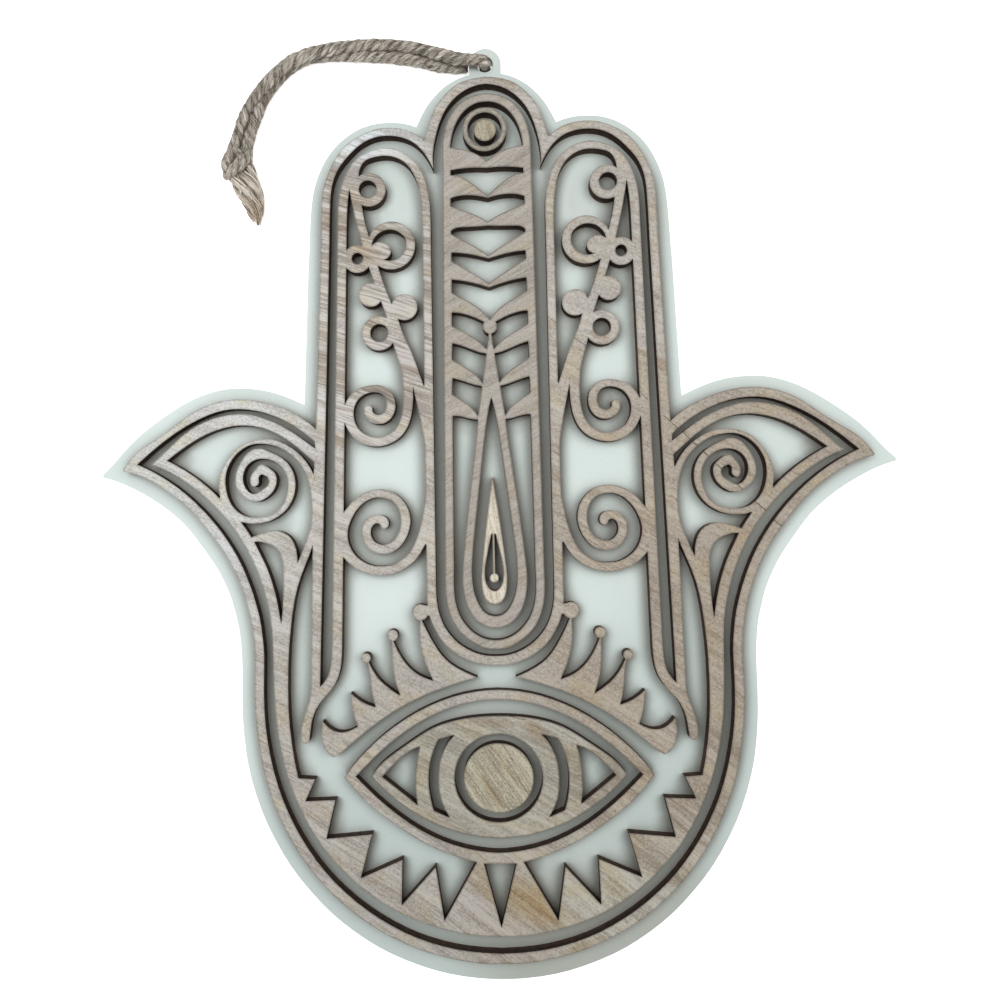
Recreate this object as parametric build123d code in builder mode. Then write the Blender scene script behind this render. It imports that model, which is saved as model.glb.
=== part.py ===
import math
import os

from build123d import *

os.makedirs("parts", exist_ok=True)

# ---------------------------------------------------------------- dimensions
# Millimetres. The ornament lies on its back: x to the viewer's right, y
# towards the fingers and the hanging tab, z out of the face. z = 0 is the
# back of the board, x = 0 the mirror line of the hand.
BOARD_T = 3.0            # painted backing board
WOOD_T = 3.0             # laser-cut wood pieces glued on it
WOOD_Z = BOARD_T

TAB_Y = 98.0             # centre of the hanging tab and of its hole
TAB_R = 3.45
HOLE_R = 1.75
ARCH_Y = 95.8            # where the tab runs into the middle finger

RING_C = (-0.35, 82.6)   # loose ring near the finger tip
RING_RO = 4.75
RING_RI = 3.65
DOT_C = (-0.3, 82.45)    # disc inside it
DOT_R = 2.4
DROP_X = -0.1            # sideways position of the teardrop
EYE_C = (0.0, -56.95)    # centre of iris hole and pupil
IRIS_R = 9.45
PUPIL_R = 7.5

TWINE_R = 1.15           # twine radius
TWINE_Z = 1.3            # height of its centre where it lies on the table
TWINE_TOP = 4.45         # height of its centre where it crosses the tab
KNOT_C = (-55.45, 80.0)
KNOT_A = 4.2             # half length of the knot lump
KNOT_B = 3.3             # half width
KNOT_H = 4.4             # height
KNOT_TURN = 82.0         # direction of its long axis
KNOT_SOFT = 2.0          # rounding of its edges


def draw(*runs):
    """Draw runs one after another; two points make a straight line."""
    for points in runs:
        if len(points) == 2:
            Line(*points)
        else:
            Spline(*points)


def bends(points):
    """Bend radius for every inner point of a twine route."""
    radii = []
    for a, b, c in zip(points, points[1:], points[2:]):
        u = [q - p for p, q in zip(a, b)]
        v = [q - p for p, q in zip(b, c)]
        lu = math.sqrt(sum(k * k for k in u))
        lv = math.sqrt(sum(k * k for k in v))
        turn = math.acos(sum(p * q for p, q in zip(u, v)) / (lu * lv))
        radii.append(0.45 * min(lu, lv) / math.tan(turn / 2))
    return radii


# --------------------------------------------------------------- outlines
# Right half of every outline; the left half is its mirror image.
BOARD_EDGE = [
    [(0, ARCH_Y), (3.45, ARCH_Y)],
    [(3.45, ARCH_Y), (5.49, 95.3), (7.33, 94.43), (9.11, 93.31), (10.86, 91.7),
     (12.76, 89.45), (14.16, 87.1), (15.26, 84.82)],
    [(15.26, 84.82), (18.39, 85.8), (21.6, 86.04), (24.85, 85.76),
     (28.24, 84.66), (31.52, 82.59), (34.41, 79.65), (36.55, 76.08),
     (37.95, 72.35), (38.74, 68.02), (39.2, 62.01), (39.63, 55.01)],
    [(39.63, 55.01), (41.07, 24.52)],
    [(41.07, 24.52), (43.89, 25.91), (47.05, 27.16), (50.9, 28.13),
     (54.97, 28.54), (59.05, 28.37), (62.97, 27.44), (66.99, 25.82),
     (70.68, 23.74), (74.21, 21.38), (77.83, 18.66), (81.22, 15.46),
     (83.92, 12.46), (86.17, 10.31)],
    [(86.17, 10.31), (86.39, 9.72), (85.52, 9.3)],
    [(85.52, 9.3), (81.35, 7.77), (77.85, 5.97), (74.03, 3.6), (70.88, 1.19),
     (68.01, -1.53), (65.4, -4.8), (63.06, -8.09), (61.18, -10.96),
     (59.61, -14.0), (58.29, -17.15), (57.34, -20.45), (56.56, -23.97),
     (56.11, -27.58), (55.93, -31.49), (56.01, -38.0), (56.02, -44.19),
     (55.58, -50.17), (54.81, -55.33), (53.51, -60.43), (51.65, -65.79),
     (48.91, -71.6), (45.53, -77.24), (41.54, -82.33), (36.83, -87.26),
     (31.7, -91.37), (26.05, -94.92), (20.38, -97.51), (14.24, -99.59),
     (7.1, -100.98), (0, -101.4)],
]

FRET_EDGE = [
    [(0, 93.95), (2.9, 93.6), (6.15, 92.5), (8.96, 90.15), (10.7, 88.02),
     (11.81, 85.67), (12.69, 82.95), (13.32, 80.63)],
    [(13.32, 80.63), (15.15, 82.1), (18.02, 83.3), (20.8, 83.68),
     (23.9, 83.45), (26.95, 82.38), (30.02, 80.56), (32.7, 77.52),
     (34.56, 73.88), (35.68, 70.46), (36.0, 67.01), (36.16, 62.19),
     (36.35, 55.99)],
    [(36.35, 55.99), (38.07, 18.86)],
    [(38.07, 18.86), (40.5, 20.95), (43.17, 22.58), (45.84, 23.78),
     (48.86, 24.82), (52.0, 25.48), (55.4, 25.74), (59.04, 25.36),
     (62.6, 24.3), (66.15, 22.4), (69.58, 19.9), (73.15, 17.55),
     (76.55, 15.45), (79.15, 13.08), (80.75, 10.8)],
    [(80.75, 10.8), (80.33, 10.47)],
    [(80.33, 10.47), (77.5, 9.77), (74.59, 8.38), (71.78, 6.63), (69.06, 4.63),
     (66.71, 2.56), (64.49, 0.21), (62.49, -2.23), (60.59, -4.73),
     (58.77, -7.32), (57.2, -10.13), (55.83, -13.04), (54.64, -16.06),
     (53.73, -19.28), (53.01, -22.58), (52.5, -25.99), (52.27, -29.5),
     (52.4, -34.51), (52.54, -39.49), (52.3, -44.97), (51.7, -49.95),
     (50.97, -54.53), (49.66, -59.5), (47.66, -64.88), (44.94, -70.44),
     (41.29, -76.0), (37.27, -80.8), (32.8, -85.0), (27.41, -88.91),
     (21.89, -91.91), (15.73, -94.35), (9.68, -95.87), (3.82, -96.72),
     (0, -96.67)],
]

# Open channel round the fingers; the loose finger panel stands in it.
FINGER_CHANNEL = [
    [(0, 92.41), (2.76, 91.92), (5.1, 90.8), (7.04, 89.22), (8.71, 87.11),
     (9.98, 84.53), (10.98, 81.26), (11.58, 77.79), (11.54, 74.45)],
    [(11.54, 74.45), (12.93, 77.18), (14.26, 78.98), (16.02, 80.5),
     (17.9, 81.4), (20.06, 81.9), (22.11, 81.99), (24.22, 81.69),
     (26.22, 80.91), (28.09, 79.66), (29.93, 77.92), (31.69, 75.86),
     (32.97, 73.55), (33.71, 71.03), (34.07, 67.81), (34.27, 63.5),
     (34.43, 58.5)],
    [(34.43, 58.5), (38.23, -36.99)],
    [(38.23, -36.99), (37.35, -36.02), (36.39, -34.5), (35.79, -32.4),
     (35.47, -29.5)],
    [(35.47, -29.5), (32.62, 58.5)],
    [(32.62, 58.5), (32.48, 63.6), (32.3, 67.4), (31.92, 70.0), (31.3, 72.19),
     (30.4, 74.26), (29.05, 76.29), (27.41, 77.75), (25.7, 78.58),
     (23.69, 79.22), (21.4, 79.36), (19.15, 78.78), (17.15, 77.6),
     (15.56, 76.26), (14.37, 74.51), (13.48, 72.41), (12.88, 70.1),
     (12.49, 67.6), (12.35, 64.5)],
    [(12.35, 64.5), (12.68, -16.49)],
    [(12.68, -16.49), (12.29, -20.63), (11.25, -23.79), (9.59, -26.35),
     (7.03, -28.66), (3.62, -30.3), (0, -30.76)],
]

# Open channel round the thumbs and the bowl of the palm.
BOWL_CHANNEL = [
    [(0, -94.56), (4.7, -94.3), (9.42, -93.68), (14.16, -92.53),
     (19.04, -90.81), (23.83, -88.43), (28.59, -85.39), (32.9, -81.93),
     (36.83, -78.01), (40.19, -73.75), (43.19, -69.0), (45.59, -64.18),
     (47.44, -59.33), (48.75, -54.62), (49.66, -50.01), (50.28, -45.01),
     (50.5, -39.6), (50.42, -34.5), (50.3, -29.51), (50.56, -25.92),
     (50.97, -22.63), (51.66, -19.53), (52.53, -16.41), (53.64, -13.3),
     (55.04, -9.95), (56.9, -6.51), (59.03, -3.25), (61.39, -0.22),
     (63.87, 2.51), (66.53, 5.06), (69.24, 7.25), (71.93, 9.1), (74.61, 10.66),
     (77.54, 12.02)],
    [(77.54, 12.02), (74.31, 14.77), (71.65, 16.83), (68.93, 18.73),
     (66.14, 20.39), (63.32, 21.78), (60.51, 22.85), (57.72, 23.5),
     (54.96, 23.64), (51.88, 23.32), (48.79, 22.54), (46.08, 21.47),
     (43.35, 20.02), (40.67, 18.12), (38.42, 16.19)],
    [(38.42, 16.19), (38.28, 14.61)],
    [(38.28, 14.61), (40.42, 16.23), (42.49, 17.8), (44.83, 19.32),
     (47.28, 20.55), (49.88, 21.58), (52.7, 22.34), (55.81, 22.46),
     (58.93, 22.07), (61.87, 21.2), (64.73, 19.87), (67.41, 18.06),
     (70.0, 15.76), (72.37, 13.59), (74.28, 11.96)],
    [(74.28, 11.96), (71.82, 10.96), (69.15, 9.55), (66.45, 7.72),
     (63.79, 5.66), (61.29, 3.34), (58.85, 0.73), (56.55, -2.19),
     (54.37, -5.55), (52.6, -9.0), (51.14, -12.48), (50.07, -15.92),
     (49.26, -19.14), (48.71, -22.36), (48.42, -25.78), (48.34, -29.49),
     (48.33, -34.5), (48.18, -39.6), (47.84, -44.99), (47.14, -49.97),
     (46.03, -54.84), (44.53, -59.56), (42.51, -64.34), (40.07, -68.88),
     (37.08, -73.12), (33.67, -77.0), (29.87, -80.51), (25.59, -83.62),
     (21.08, -86.14), (16.38, -88.1), (11.46, -89.6), (5.82, -90.63),
     (0, -90.9)],
]

# One big opening: both fingers, the palm, the rays under the eye.
PALM_OPENING = [
    [(0, -32.87), (2.88, -32.59), (6.02, -31.61), (8.83, -30.03),
     (11.04, -28.03), (12.69, -25.57), (13.8, -23.18), (14.4, -21.31)],
    [(14.4, -21.31), (14.66, -18.56)],
    [(14.66, -18.56), (14.11, 62.0)],
    [(14.11, 62.0), (14.21, 65.21), (14.41, 67.92), (14.73, 70.12),
     (15.22, 72.02), (15.96, 73.78), (17.04, 75.39), (18.52, 76.64),
     (20.25, 77.41), (22.09, 77.68), (23.72, 77.56), (25.17, 77.24),
     (26.42, 76.62), (27.28, 75.47), (27.79, 73.4)],
    [(27.79, 73.4), (29.87, 70.92)],
    [(29.87, 70.92), (30.33, 67.01), (30.57, 63.0)],
    [(30.57, 63.0), (33.3, -29.48)],
    [(33.3, -29.48), (33.57, -32.35), (34.16, -34.7), (35.2, -36.81),
     (36.64, -38.6), (38.21, -40.32), (39.48, -42.41), (40.23, -44.74),
     (40.55, -46.93), (40.75, -48.25)],
    [(40.75, -48.25), (41.06, -48.9), (41.65, -49.17), (42.22, -48.9),
     (42.63, -48.16)],
    [(42.63, -48.16), (42.5, -46.04), (42.01, -43.82), (41.24, -41.73),
     (40.53, -39.58), (40.24, -37.0)],
    [(40.24, -37.0), (39.23, -6.1)],
    [(39.23, -6.1), (39.9, -8.04), (40.84, -10.25), (41.87, -12.78),
     (42.81, -15.6), (43.51, -18.52), (44.03, -21.51), (44.43, -24.71),
     (44.8, -28.3), (45.09, -33.0), (45.21, -38.2), (45.13, -43.01),
     (44.77, -47.71), (44.14, -52.39), (43.3, -56.66)],
    [(43.3, -56.66), (39.65, -56.9)],
    [(39.65, -56.9), (41.89, -61.64)],
    [(41.89, -61.64), (35.33, -61.39)],
    [(35.33, -61.39), (37.44, -69.77)],
    [(37.44, -69.77), (27.52, -68.87)],
    [(27.52, -68.87), (30.16, -78.3)],
    [(30.16, -78.3), (21.04, -74.37)],
    [(21.04, -74.37), (21.39, -84.16)],
    [(21.39, -84.16), (13.91, -76.0)],
    [(13.91, -76.0), (12.23, -87.53)],
    [(12.23, -87.53), (5.0, -74.94)],
    [(5.0, -74.94), (7.87, -74.2), (10.89, -73.2), (14.32, -71.76),
     (17.97, -69.8), (21.51, -67.48), (25.17, -64.81), (28.14, -62.34),
     (30.66, -59.75), (32.1, -58.02), (33.23, -56.51)],
    [(33.23, -56.51), (31.84, -54.56), (29.86, -52.3), (27.3, -49.78),
     (24.59, -47.43), (21.6, -45.24), (18.19, -43.1), (14.56, -41.28),
     (10.92, -39.85), (7.27, -38.83), (3.63, -38.23), (0, -38.0)],
]

CENTRE_RAY = [
    [(0, -75.32), (3.52, -75.23)],
    [(3.52, -75.23), (0, -89.01)],
]

EYE_OPENING = [
    [(0, -40.04), (3.7, -40.28), (7.39, -40.96), (11.09, -42.09),
     (14.72, -43.66), (18.49, -45.77), (22.14, -48.35), (25.81, -51.41),
     (28.36, -53.9), (30.86, -56.38)],
    [(30.86, -56.38), (28.49, -58.79), (25.63, -61.55), (22.04, -64.55),
     (18.45, -67.11), (14.72, -69.21), (11.1, -70.8), (7.39, -71.94),
     (3.69, -72.66), (0, -72.95)],
]

# Thumb: space between the inner strip, the leaf and the upright strip.
THUMB_OPENING = [
    [(38.54, 11.7), (40.19, 13.16), (41.9, 14.7), (43.82, 16.28),
     (45.96, 17.69), (48.21, 18.81), (50.55, 19.58), (53.0, 20.0),
     (55.35, 20.04), (58.0, 19.64), (60.84, 18.81), (63.57, 17.59),
     (66.29, 16.01), (68.79, 14.32), (70.92, 12.72)],
    [(70.92, 12.72), (69.32, 11.91), (67.29, 10.71), (65.03, 9.18),
     (62.66, 7.31), (60.33, 5.15), (58.16, 2.79), (56.35, 0.76),
     (54.87, -0.96), (53.91, -2.32), (53.2, -3.38), (52.64, -4.32)],
    [(52.64, -4.32), (51.1, -3.8), (48.98, -3.16), (46.95, -3.03),
     (45.32, -3.55), (43.95, -4.72), (43.11, -6.4), (42.73, -8.25),
     (42.66, -10.09)],
    [(42.66, -10.09), (41.89, -8.45), (40.98, -6.19), (40.11, -3.8),
     (39.49, -1.41), (39.29, 1.42), (39.36, 4.61)],
    [(39.36, 4.61), (38.75, 8.94)],
    [(38.75, 8.94), (38.54, 11.7)],
]

LEAF_OPENING = [
    [(46.44, -23.4), (46.81, -20.9), (47.43, -17.39), (48.35, -13.87),
     (49.63, -10.35), (50.96, -7.55), (52.04, -5.3)],
    [(52.04, -5.3), (50.69, -5.3), (49.13, -5.73), (47.56, -6.59),
     (46.44, -7.88), (45.89, -9.58), (45.73, -12.4), (45.82, -16.0),
     (46.03, -19.6), (46.44, -23.4)],
]

# Scrollwork inside the openings, all part of the same sheet.
VINE = [
    [(13.38, 27.2), (14.51, 27.61)],
    [(14.51, 27.61), (14.92, 28.92), (15.57, 30.88), (16.35, 33.22),
     (17.18, 35.42), (18.03, 37.33), (18.85, 39.28), (19.62, 41.66),
     (20.49, 44.1), (21.38, 46.19), (22.16, 48.29), (22.93, 50.52),
     (23.8, 53.26), (24.72, 56.49), (25.62, 59.6), (26.37, 62.49),
     (26.93, 65.19), (27.3, 67.61), (27.62, 70.44), (27.84, 73.45)],
    [(27.84, 73.45), (29.2, 75.33)],
    [(29.2, 75.33), (31.0, 71.99)],
    [(31.0, 71.99), (29.87, 70.92)],
    [(29.87, 70.92), (29.54, 68.89), (29.06, 66.28), (28.53, 63.67),
     (27.82, 60.85), (27.2, 58.25), (26.51, 55.74), (25.8, 53.24),
     (24.92, 50.58), (24.1, 48.19), (23.24, 45.67), (22.32, 42.96),
     (21.58, 39.94), (20.83, 36.53), (19.89, 33.3), (19.27, 30.92),
     (19.05, 28.6)],
    [(19.05, 28.6), (16.83, 27.7)],
    [(16.83, 27.7), (16.39, 25.42), (15.87, 23.01), (15.41, 20.8),
     (15.05, 18.7), (14.62, 16.11), (14.34, 12.61), (14.2, 7.0)],
    [(14.2, 7.0), (13.38, 6.0)],
    [(13.38, 6.0), (13.38, 27.2)],
]

SPIRAL_UPPER = [
    [(16.83, 27.7), (16.86, 25.13), (17.09, 22.52), (17.65, 20.12),
     (18.66, 18.05), (20.13, 16.45), (21.94, 15.41), (23.84, 14.87),
     (25.74, 14.82), (27.58, 15.3), (29.32, 16.33), (30.76, 17.94),
     (31.75, 20.02)],
    [(31.75, 20.02), (32.35, 21.5)],
    [(32.35, 21.5), (32.14, 23.0)],
    [(32.14, 23.0), (31.74, 23.73)],
    [(31.74, 23.73), (31.11, 25.11), (30.17, 26.32), (28.64, 27.4),
     (26.78, 27.95), (24.97, 28.14), (23.3, 27.85), (21.91, 26.92),
     (21.05, 25.59), (20.73, 24.22), (20.79, 22.81), (21.25, 21.52),
     (22.07, 20.49), (23.25, 19.81), (24.62, 19.66), (25.99, 20.1),
     (27.11, 21.16), (27.56, 22.57), (27.09, 23.68), (26.37, 23.82),
     (25.74, 23.19), (25.71, 22.51), (25.29, 21.87), (24.31, 21.6),
     (23.27, 22.07), (22.67, 23.12), (22.64, 24.43), (23.11, 25.58),
     (24.03, 26.3), (25.27, 26.56), (26.84, 26.31), (28.33, 25.48),
     (29.34, 24.13), (29.81, 22.53), (29.69, 20.67), (28.98, 18.97),
     (27.74, 17.7), (26.1, 16.94), (24.23, 16.78), (22.36, 17.34),
     (20.82, 18.5), (19.77, 20.21), (19.21, 22.17), (18.98, 24.3),
     (18.92, 26.6), (19.05, 28.6)],
    [(19.05, 28.6), (16.83, 27.7)],
]

SPIRAL_LOWER = [
    [(13.38, -7.0), (14.83, -6.49)],
    [(14.83, -6.49), (15.56, -7.82), (16.5, -9.26), (17.8, -10.62),
     (19.44, -11.76), (21.24, -12.56), (23.08, -13.01), (24.83, -13.09),
     (26.64, -12.82), (28.48, -12.26), (30.23, -11.31), (31.57, -10.18),
     (32.67, -8.93)],
    [(32.67, -8.93), (33.46, -7.0)],
    [(33.46, -7.0), (33.46, -2.0)],
    [(33.46, -2.0), (32.42, 0.64)],
    [(32.42, 0.64), (31.36, 1.98), (29.79, 3.61), (27.8, 4.81), (25.75, 5.46),
     (23.76, 5.52), (21.91, 5.04), (20.21, 3.87), (18.83, 2.11), (18.09, 0.18),
     (17.95, -1.71), (18.36, -3.69), (19.25, -5.6), (20.54, -7.15),
     (22.02, -8.11), (23.59, -8.43), (25.16, -8.27), (26.64, -7.6),
     (27.79, -6.29), (28.43, -4.71), (28.49, -3.1), (27.98, -1.67),
     (26.99, -0.6), (25.74, -0.02), (24.5, 0.01), (23.44, -0.33),
     (22.8, -1.06), (22.62, -1.94), (22.87, -2.64), (23.42, -2.98),
     (23.97, -2.95), (24.33, -2.57), (24.56, -2.01), (25.14, -1.78),
     (26.04, -2.19), (26.52, -3.18), (26.52, -4.36), (26.02, -5.41),
     (24.96, -6.21), (23.45, -6.39), (21.99, -5.84), (20.85, -4.57),
     (20.18, -3.04), (19.96, -1.26), (20.18, 0.46), (20.87, 1.97),
     (22.03, 3.09), (23.64, 3.69), (25.36, 3.77), (26.96, 3.29), (28.48, 2.28),
     (29.81, 0.81), (30.81, -0.93), (31.44, -2.65), (31.63, -4.29),
     (31.39, -5.94), (30.76, -7.53), (29.68, -8.97), (28.18, -10.12),
     (26.41, -10.87), (24.48, -11.06), (22.59, -10.92), (20.77, -10.27),
     (19.09, -9.11), (17.81, -7.61), (16.86, -5.82), (16.13, -3.87),
     (15.52, -1.7), (15.05, 0.71), (14.6, 3.39)],
    [(14.6, 3.39), (13.38, 3.6)],
    [(13.38, 3.6), (13.38, -7.0)],
]

LASHES = [
    [(15.89, -22.87), (14.96, -24.95), (13.79, -27.19), (12.51, -29.35),
     (11.08, -31.18), (9.29, -32.7), (7.19, -33.93), (4.12, -35.31)],
    [(4.12, -35.31), (6.56, -35.91), (9.61, -36.83), (12.82, -37.92),
     (16.0, -39.16), (19.19, -40.68), (22.37, -42.46), (25.51, -44.52),
     (28.67, -46.87), (31.84, -49.46), (33.91, -51.23), (35.33, -52.16)],
    [(35.33, -52.16), (36.33, -51.73), (37.33, -50.46), (37.98, -48.85),
     (38.16, -47.18), (38.03, -45.66), (37.79, -44.41)],
    [(37.79, -44.41), (36.94, -45.38), (35.69, -46.32), (34.15, -46.81),
     (32.41, -46.64), (31.18, -46.16), (30.16, -45.61)],
    [(30.16, -45.61), (30.67, -44.21), (31.19, -42.27), (31.49, -40.31),
     (31.57, -38.4)],
    [(31.57, -38.4), (30.5, -39.36), (29.18, -40.28), (27.71, -41.0),
     (26.18, -41.47)],
    [(26.18, -41.47), (26.64, -39.99), (26.99, -37.87), (27.26, -35.47),
     (27.51, -33.17), (27.84, -31.31)],
    [(27.84, -31.31), (27.59, -31.64)],
    [(27.59, -31.64), (26.52, -33.82), (25.13, -35.71), (23.24, -37.44),
     (20.77, -39.05)],
    [(20.77, -39.05), (21.59, -36.81), (22.17, -34.2), (22.42, -31.51),
     (22.47, -29.01), (22.41, -26.9)],
    [(22.41, -26.9), (22.26, -26.99)],
    [(22.26, -26.99), (20.87, -30.05), (19.13, -32.59), (17.3, -34.26),
     (15.44, -35.28), (13.66, -35.92)],
    [(13.66, -35.92), (14.47, -34.08), (15.4, -31.69), (16.06, -29.21),
     (16.37, -26.71), (16.36, -24.61), (16.22, -22.5)],
    [(16.22, -22.5), (15.89, -22.87)],
]
LASH_NECK = [(13.59, -19.85), (15.41, -19.6), (15.41, -22.2), (13.59, -21.7)]
LASH_BALLS = [((16.21, -21.15), 1.75), ((22.3, -26.02), 1.21),
              ((28.16, -30.84), 1.06)]

THUMB_SPIRAL = [
    [(37.82, 8.8), (38.75, 8.94)],
    [(38.75, 8.94), (39.4, 10.34), (40.46, 12.0), (41.68, 13.42),
     (43.12, 14.66), (44.83, 15.74), (46.65, 16.54), (48.57, 16.96),
     (50.53, 16.94), (52.62, 16.57), (54.65, 15.68), (56.37, 14.18),
     (57.78, 12.37), (58.84, 10.41), (59.43, 8.43), (59.57, 6.51),
     (59.33, 4.61)],
    [(59.33, 4.61), (59.72, 3.4)],
    [(59.72, 3.4), (56.28, -0.6)],
    [(56.28, -0.6), (54.75, -0.9)],
    [(54.75, -0.9), (53.31, -1.25), (51.71, -1.34), (50.13, -1.2),
     (48.51, -0.83), (47.0, -0.1), (45.61, 0.86), (44.51, 2.03), (43.59, 3.51),
     (43.0, 5.15), (42.78, 6.9), (42.92, 8.54), (43.39, 10.02), (44.27, 11.46),
     (45.44, 12.61), (46.87, 13.5), (48.45, 14.24), (50.04, 14.85),
     (51.62, 14.8), (52.99, 14.1), (54.1, 12.85), (55.0, 11.41), (55.64, 9.95),
     (55.91, 8.47), (55.81, 7.09), (55.27, 5.83), (54.36, 4.75), (53.23, 3.9),
     (52.01, 3.5), (50.82, 3.49), (49.75, 3.89), (48.78, 4.51), (47.85, 5.42),
     (47.2, 6.49), (46.9, 7.66), (46.92, 8.69), (47.32, 9.6), (48.19, 10.44),
     (49.41, 11.22), (50.41, 11.37), (51.25, 10.67), (51.96, 9.76),
     (52.48, 8.97), (52.66, 8.19), (52.56, 7.34), (52.28, 6.82), (51.83, 6.66),
     (51.35, 6.83), (50.91, 7.24), (50.78, 7.83), (50.83, 8.46), (50.64, 8.97),
     (50.3, 9.27), (49.72, 9.18), (49.02, 8.82), (48.59, 8.16), (48.57, 7.43),
     (49.07, 6.63), (49.99, 5.99), (50.86, 5.36), (51.78, 5.08), (52.77, 5.37),
     (53.6, 6.25), (54.14, 7.48), (54.25, 8.84), (53.92, 10.19),
     (53.22, 11.32), (52.14, 12.2), (50.82, 12.65), (49.47, 12.7),
     (48.16, 12.44), (46.86, 11.8), (45.66, 10.74), (44.84, 9.37),
     (44.43, 7.91), (44.39, 6.34), (44.71, 4.62), (45.42, 2.97), (46.47, 1.59),
     (47.85, 0.67), (49.52, 0.17), (51.25, -0.03), (52.86, 0.08),
     (54.32, 0.53), (55.64, 1.42), (56.73, 2.67), (57.54, 4.29), (58.03, 6.25),
     (58.13, 8.29), (57.83, 10.1), (57.15, 11.72), (56.12, 13.26),
     (54.82, 14.49), (53.23, 15.46), (51.53, 15.95), (49.69, 15.96),
     (47.94, 15.7), (46.23, 15.14), (44.64, 14.24), (43.11, 13.02),
     (41.81, 11.55), (40.78, 9.92), (40.11, 8.24), (39.68, 6.56),
     (39.36, 4.61)],
    [(39.36, 4.61), (37.82, 4.4)],
    [(37.82, 4.4), (37.82, 8.8)],
]

# Discs of wood on the vine: centre, radius, hole centre, hole radius.
VINE_RINGS = [
    ((25.6, 70.42), 3.66, (25.85, 70.52), 1.92),
    ((28.41, 55.48), 3.01, (28.36, 55.59), 1.24),
    ((24.0, 39.26), 3.71, (23.92, 39.33), 1.94),
]
VINE_LOBES = [((18.37, 44.76), 2.82), ((25.64, 47.66), 2.61),
              ((20.96, 58.18), 5.18)]
CRESCENT_HOLE = [
    [(25.22, 58.28), (24.29, 60.31), (22.77, 61.36), (20.93, 61.62),
     (19.27, 61.04), (18.12, 59.94), (17.7, 58.5), (17.95, 57.1),
     (18.75, 55.92), (19.97, 55.12), (21.38, 54.89), (22.78, 55.2)],
    [(22.78, 55.2), (21.93, 55.43), (21.3, 56.09), (21.07, 57.03),
     (21.43, 57.99), (22.39, 58.82), (23.63, 59.03), (25.22, 58.28)],
]

# Loose finger panel.
PANEL_EDGE = [
    [(0, 90.36), (3.0, 89.86), (5.44, 88.55), (7.28, 86.5), (8.58, 83.97),
     (9.27, 81.19), (9.52, 78.0)],
    [(9.52, 78.0), (10.63, -12.0)],
    [(10.63, -12.0), (10.62, -17.44), (9.87, -21.53), (8.2, -24.85),
     (5.52, -27.42), (2.75, -28.92), (0, -29.29)],
]
PANEL_TIP = [
    [(0, 88.57), (2.06, 88.3), (3.86, 87.37), (5.47, 85.78), (6.69, 83.69),
     (7.43, 81.4), (7.82, 78.88)],
    [(7.82, 78.88), (4.88, 78.4), (2.29, 77.37), (0, 75.78)],
]
PANEL_RUNGS = [
    [[(0, 74.25), (4.08, 74.39), (7.83, 74.01)],
     [(7.83, 74.01), (7.82, 72.94)],
     [(7.82, 72.94), (5.77, 72.56), (3.93, 71.52), (1.98, 70.03), (0, 68.29)]],
    [[(0, 67.78), (2.24, 68.32), (4.56, 68.53), (6.6, 68.34), (7.93, 67.93)],
     [(7.93, 67.93), (7.94, 66.28)],
     [(7.94, 66.28), (5.91, 65.49), (3.85, 64.71), (1.73, 63.72), (0, 62.65)]],
    [[(0, 61.83), (2.54, 61.68), (5.29, 61.65), (7.15, 61.43), (8.0, 60.84)],
     [(8.0, 60.84), (7.94, 60.21)],
     [(7.94, 60.21), (5.56, 58.88), (3.15, 57.56), (1.43, 56.44), (0, 55.31)]],
    [[(0, 54.74), (2.33, 55.37), (4.98, 55.93), (7.96, 56.22)],
     [(7.96, 56.22), (7.98, 54.42)],
     [(7.98, 54.42), (5.58, 52.99), (3.22, 51.56), (1.38, 50.37), (0, 49.36)]],
    [[(0, 48.46), (2.34, 49.25), (5.0, 49.94), (8.04, 50.42)],
     [(8.04, 50.42), (8.03, 47.51)],
     [(8.03, 47.51), (5.63, 46.22), (3.22, 44.8), (1.38, 43.22), (0, 41.55)]],
]
PANEL_SIDE_RUNGS = [
    [[(1.24, 41.12), (3.24, 42.08), (5.5, 42.92), (8.15, 43.31)],
     [(8.15, 43.31), (8.16, 40.41)],
     [(8.16, 40.41), (5.61, 39.06), (3.39, 37.68), (1.83, 36.35),
      (0.77, 35.19)],
     [(0.77, 35.19), (0.48, 36.84), (0.31, 38.56)],
     [(0.31, 38.56), (0.95, 38.81), (1.41, 39.4), (1.51, 40.17), (1.24, 41.12)]],
    [[(0.88, 34.29), (2.55, 34.65), (4.91, 35.57), (8.17, 36.67)],
     [(8.17, 36.67), (8.27, 33.17)],
     [(8.27, 33.17), (5.78, 31.62), (3.83, 30.28), (2.62, 29.12),
      (1.84, 27.88)],
     [(1.84, 27.88), (0.88, 34.29)]],
    [[(1.98, 27.26), (3.58, 27.62), (5.64, 28.33), (8.27, 29.14)],
     [(8.27, 29.14), (8.37, 25.59)],
     [(8.37, 25.59), (6.37, 24.39), (4.8, 23.21), (3.73, 22.1), (2.92, 20.84)],
     [(2.92, 20.84), (1.98, 27.26)]],
]
PANEL_FORK = [
    [(0, -24.82), (2.16, -24.38), (4.13, -23.07), (5.76, -20.63),
     (6.67, -17.63), (6.96, -14.51), (6.81, -11.3), (6.32, -6.6),
     (5.64, -0.59), (4.79, 5.81), (3.85, 12.76), (2.96, 20.1)],
    [(2.96, 20.1), (4.4, 20.26), (6.24, 20.77), (8.37, 20.98)],
    [(8.37, 20.98), (8.72, -11.99)],
    [(8.72, -11.99), (8.71, -17.26), (7.99, -21.0), (6.26, -24.12),
     (3.62, -26.39), (0, -27.33)],
]
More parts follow.
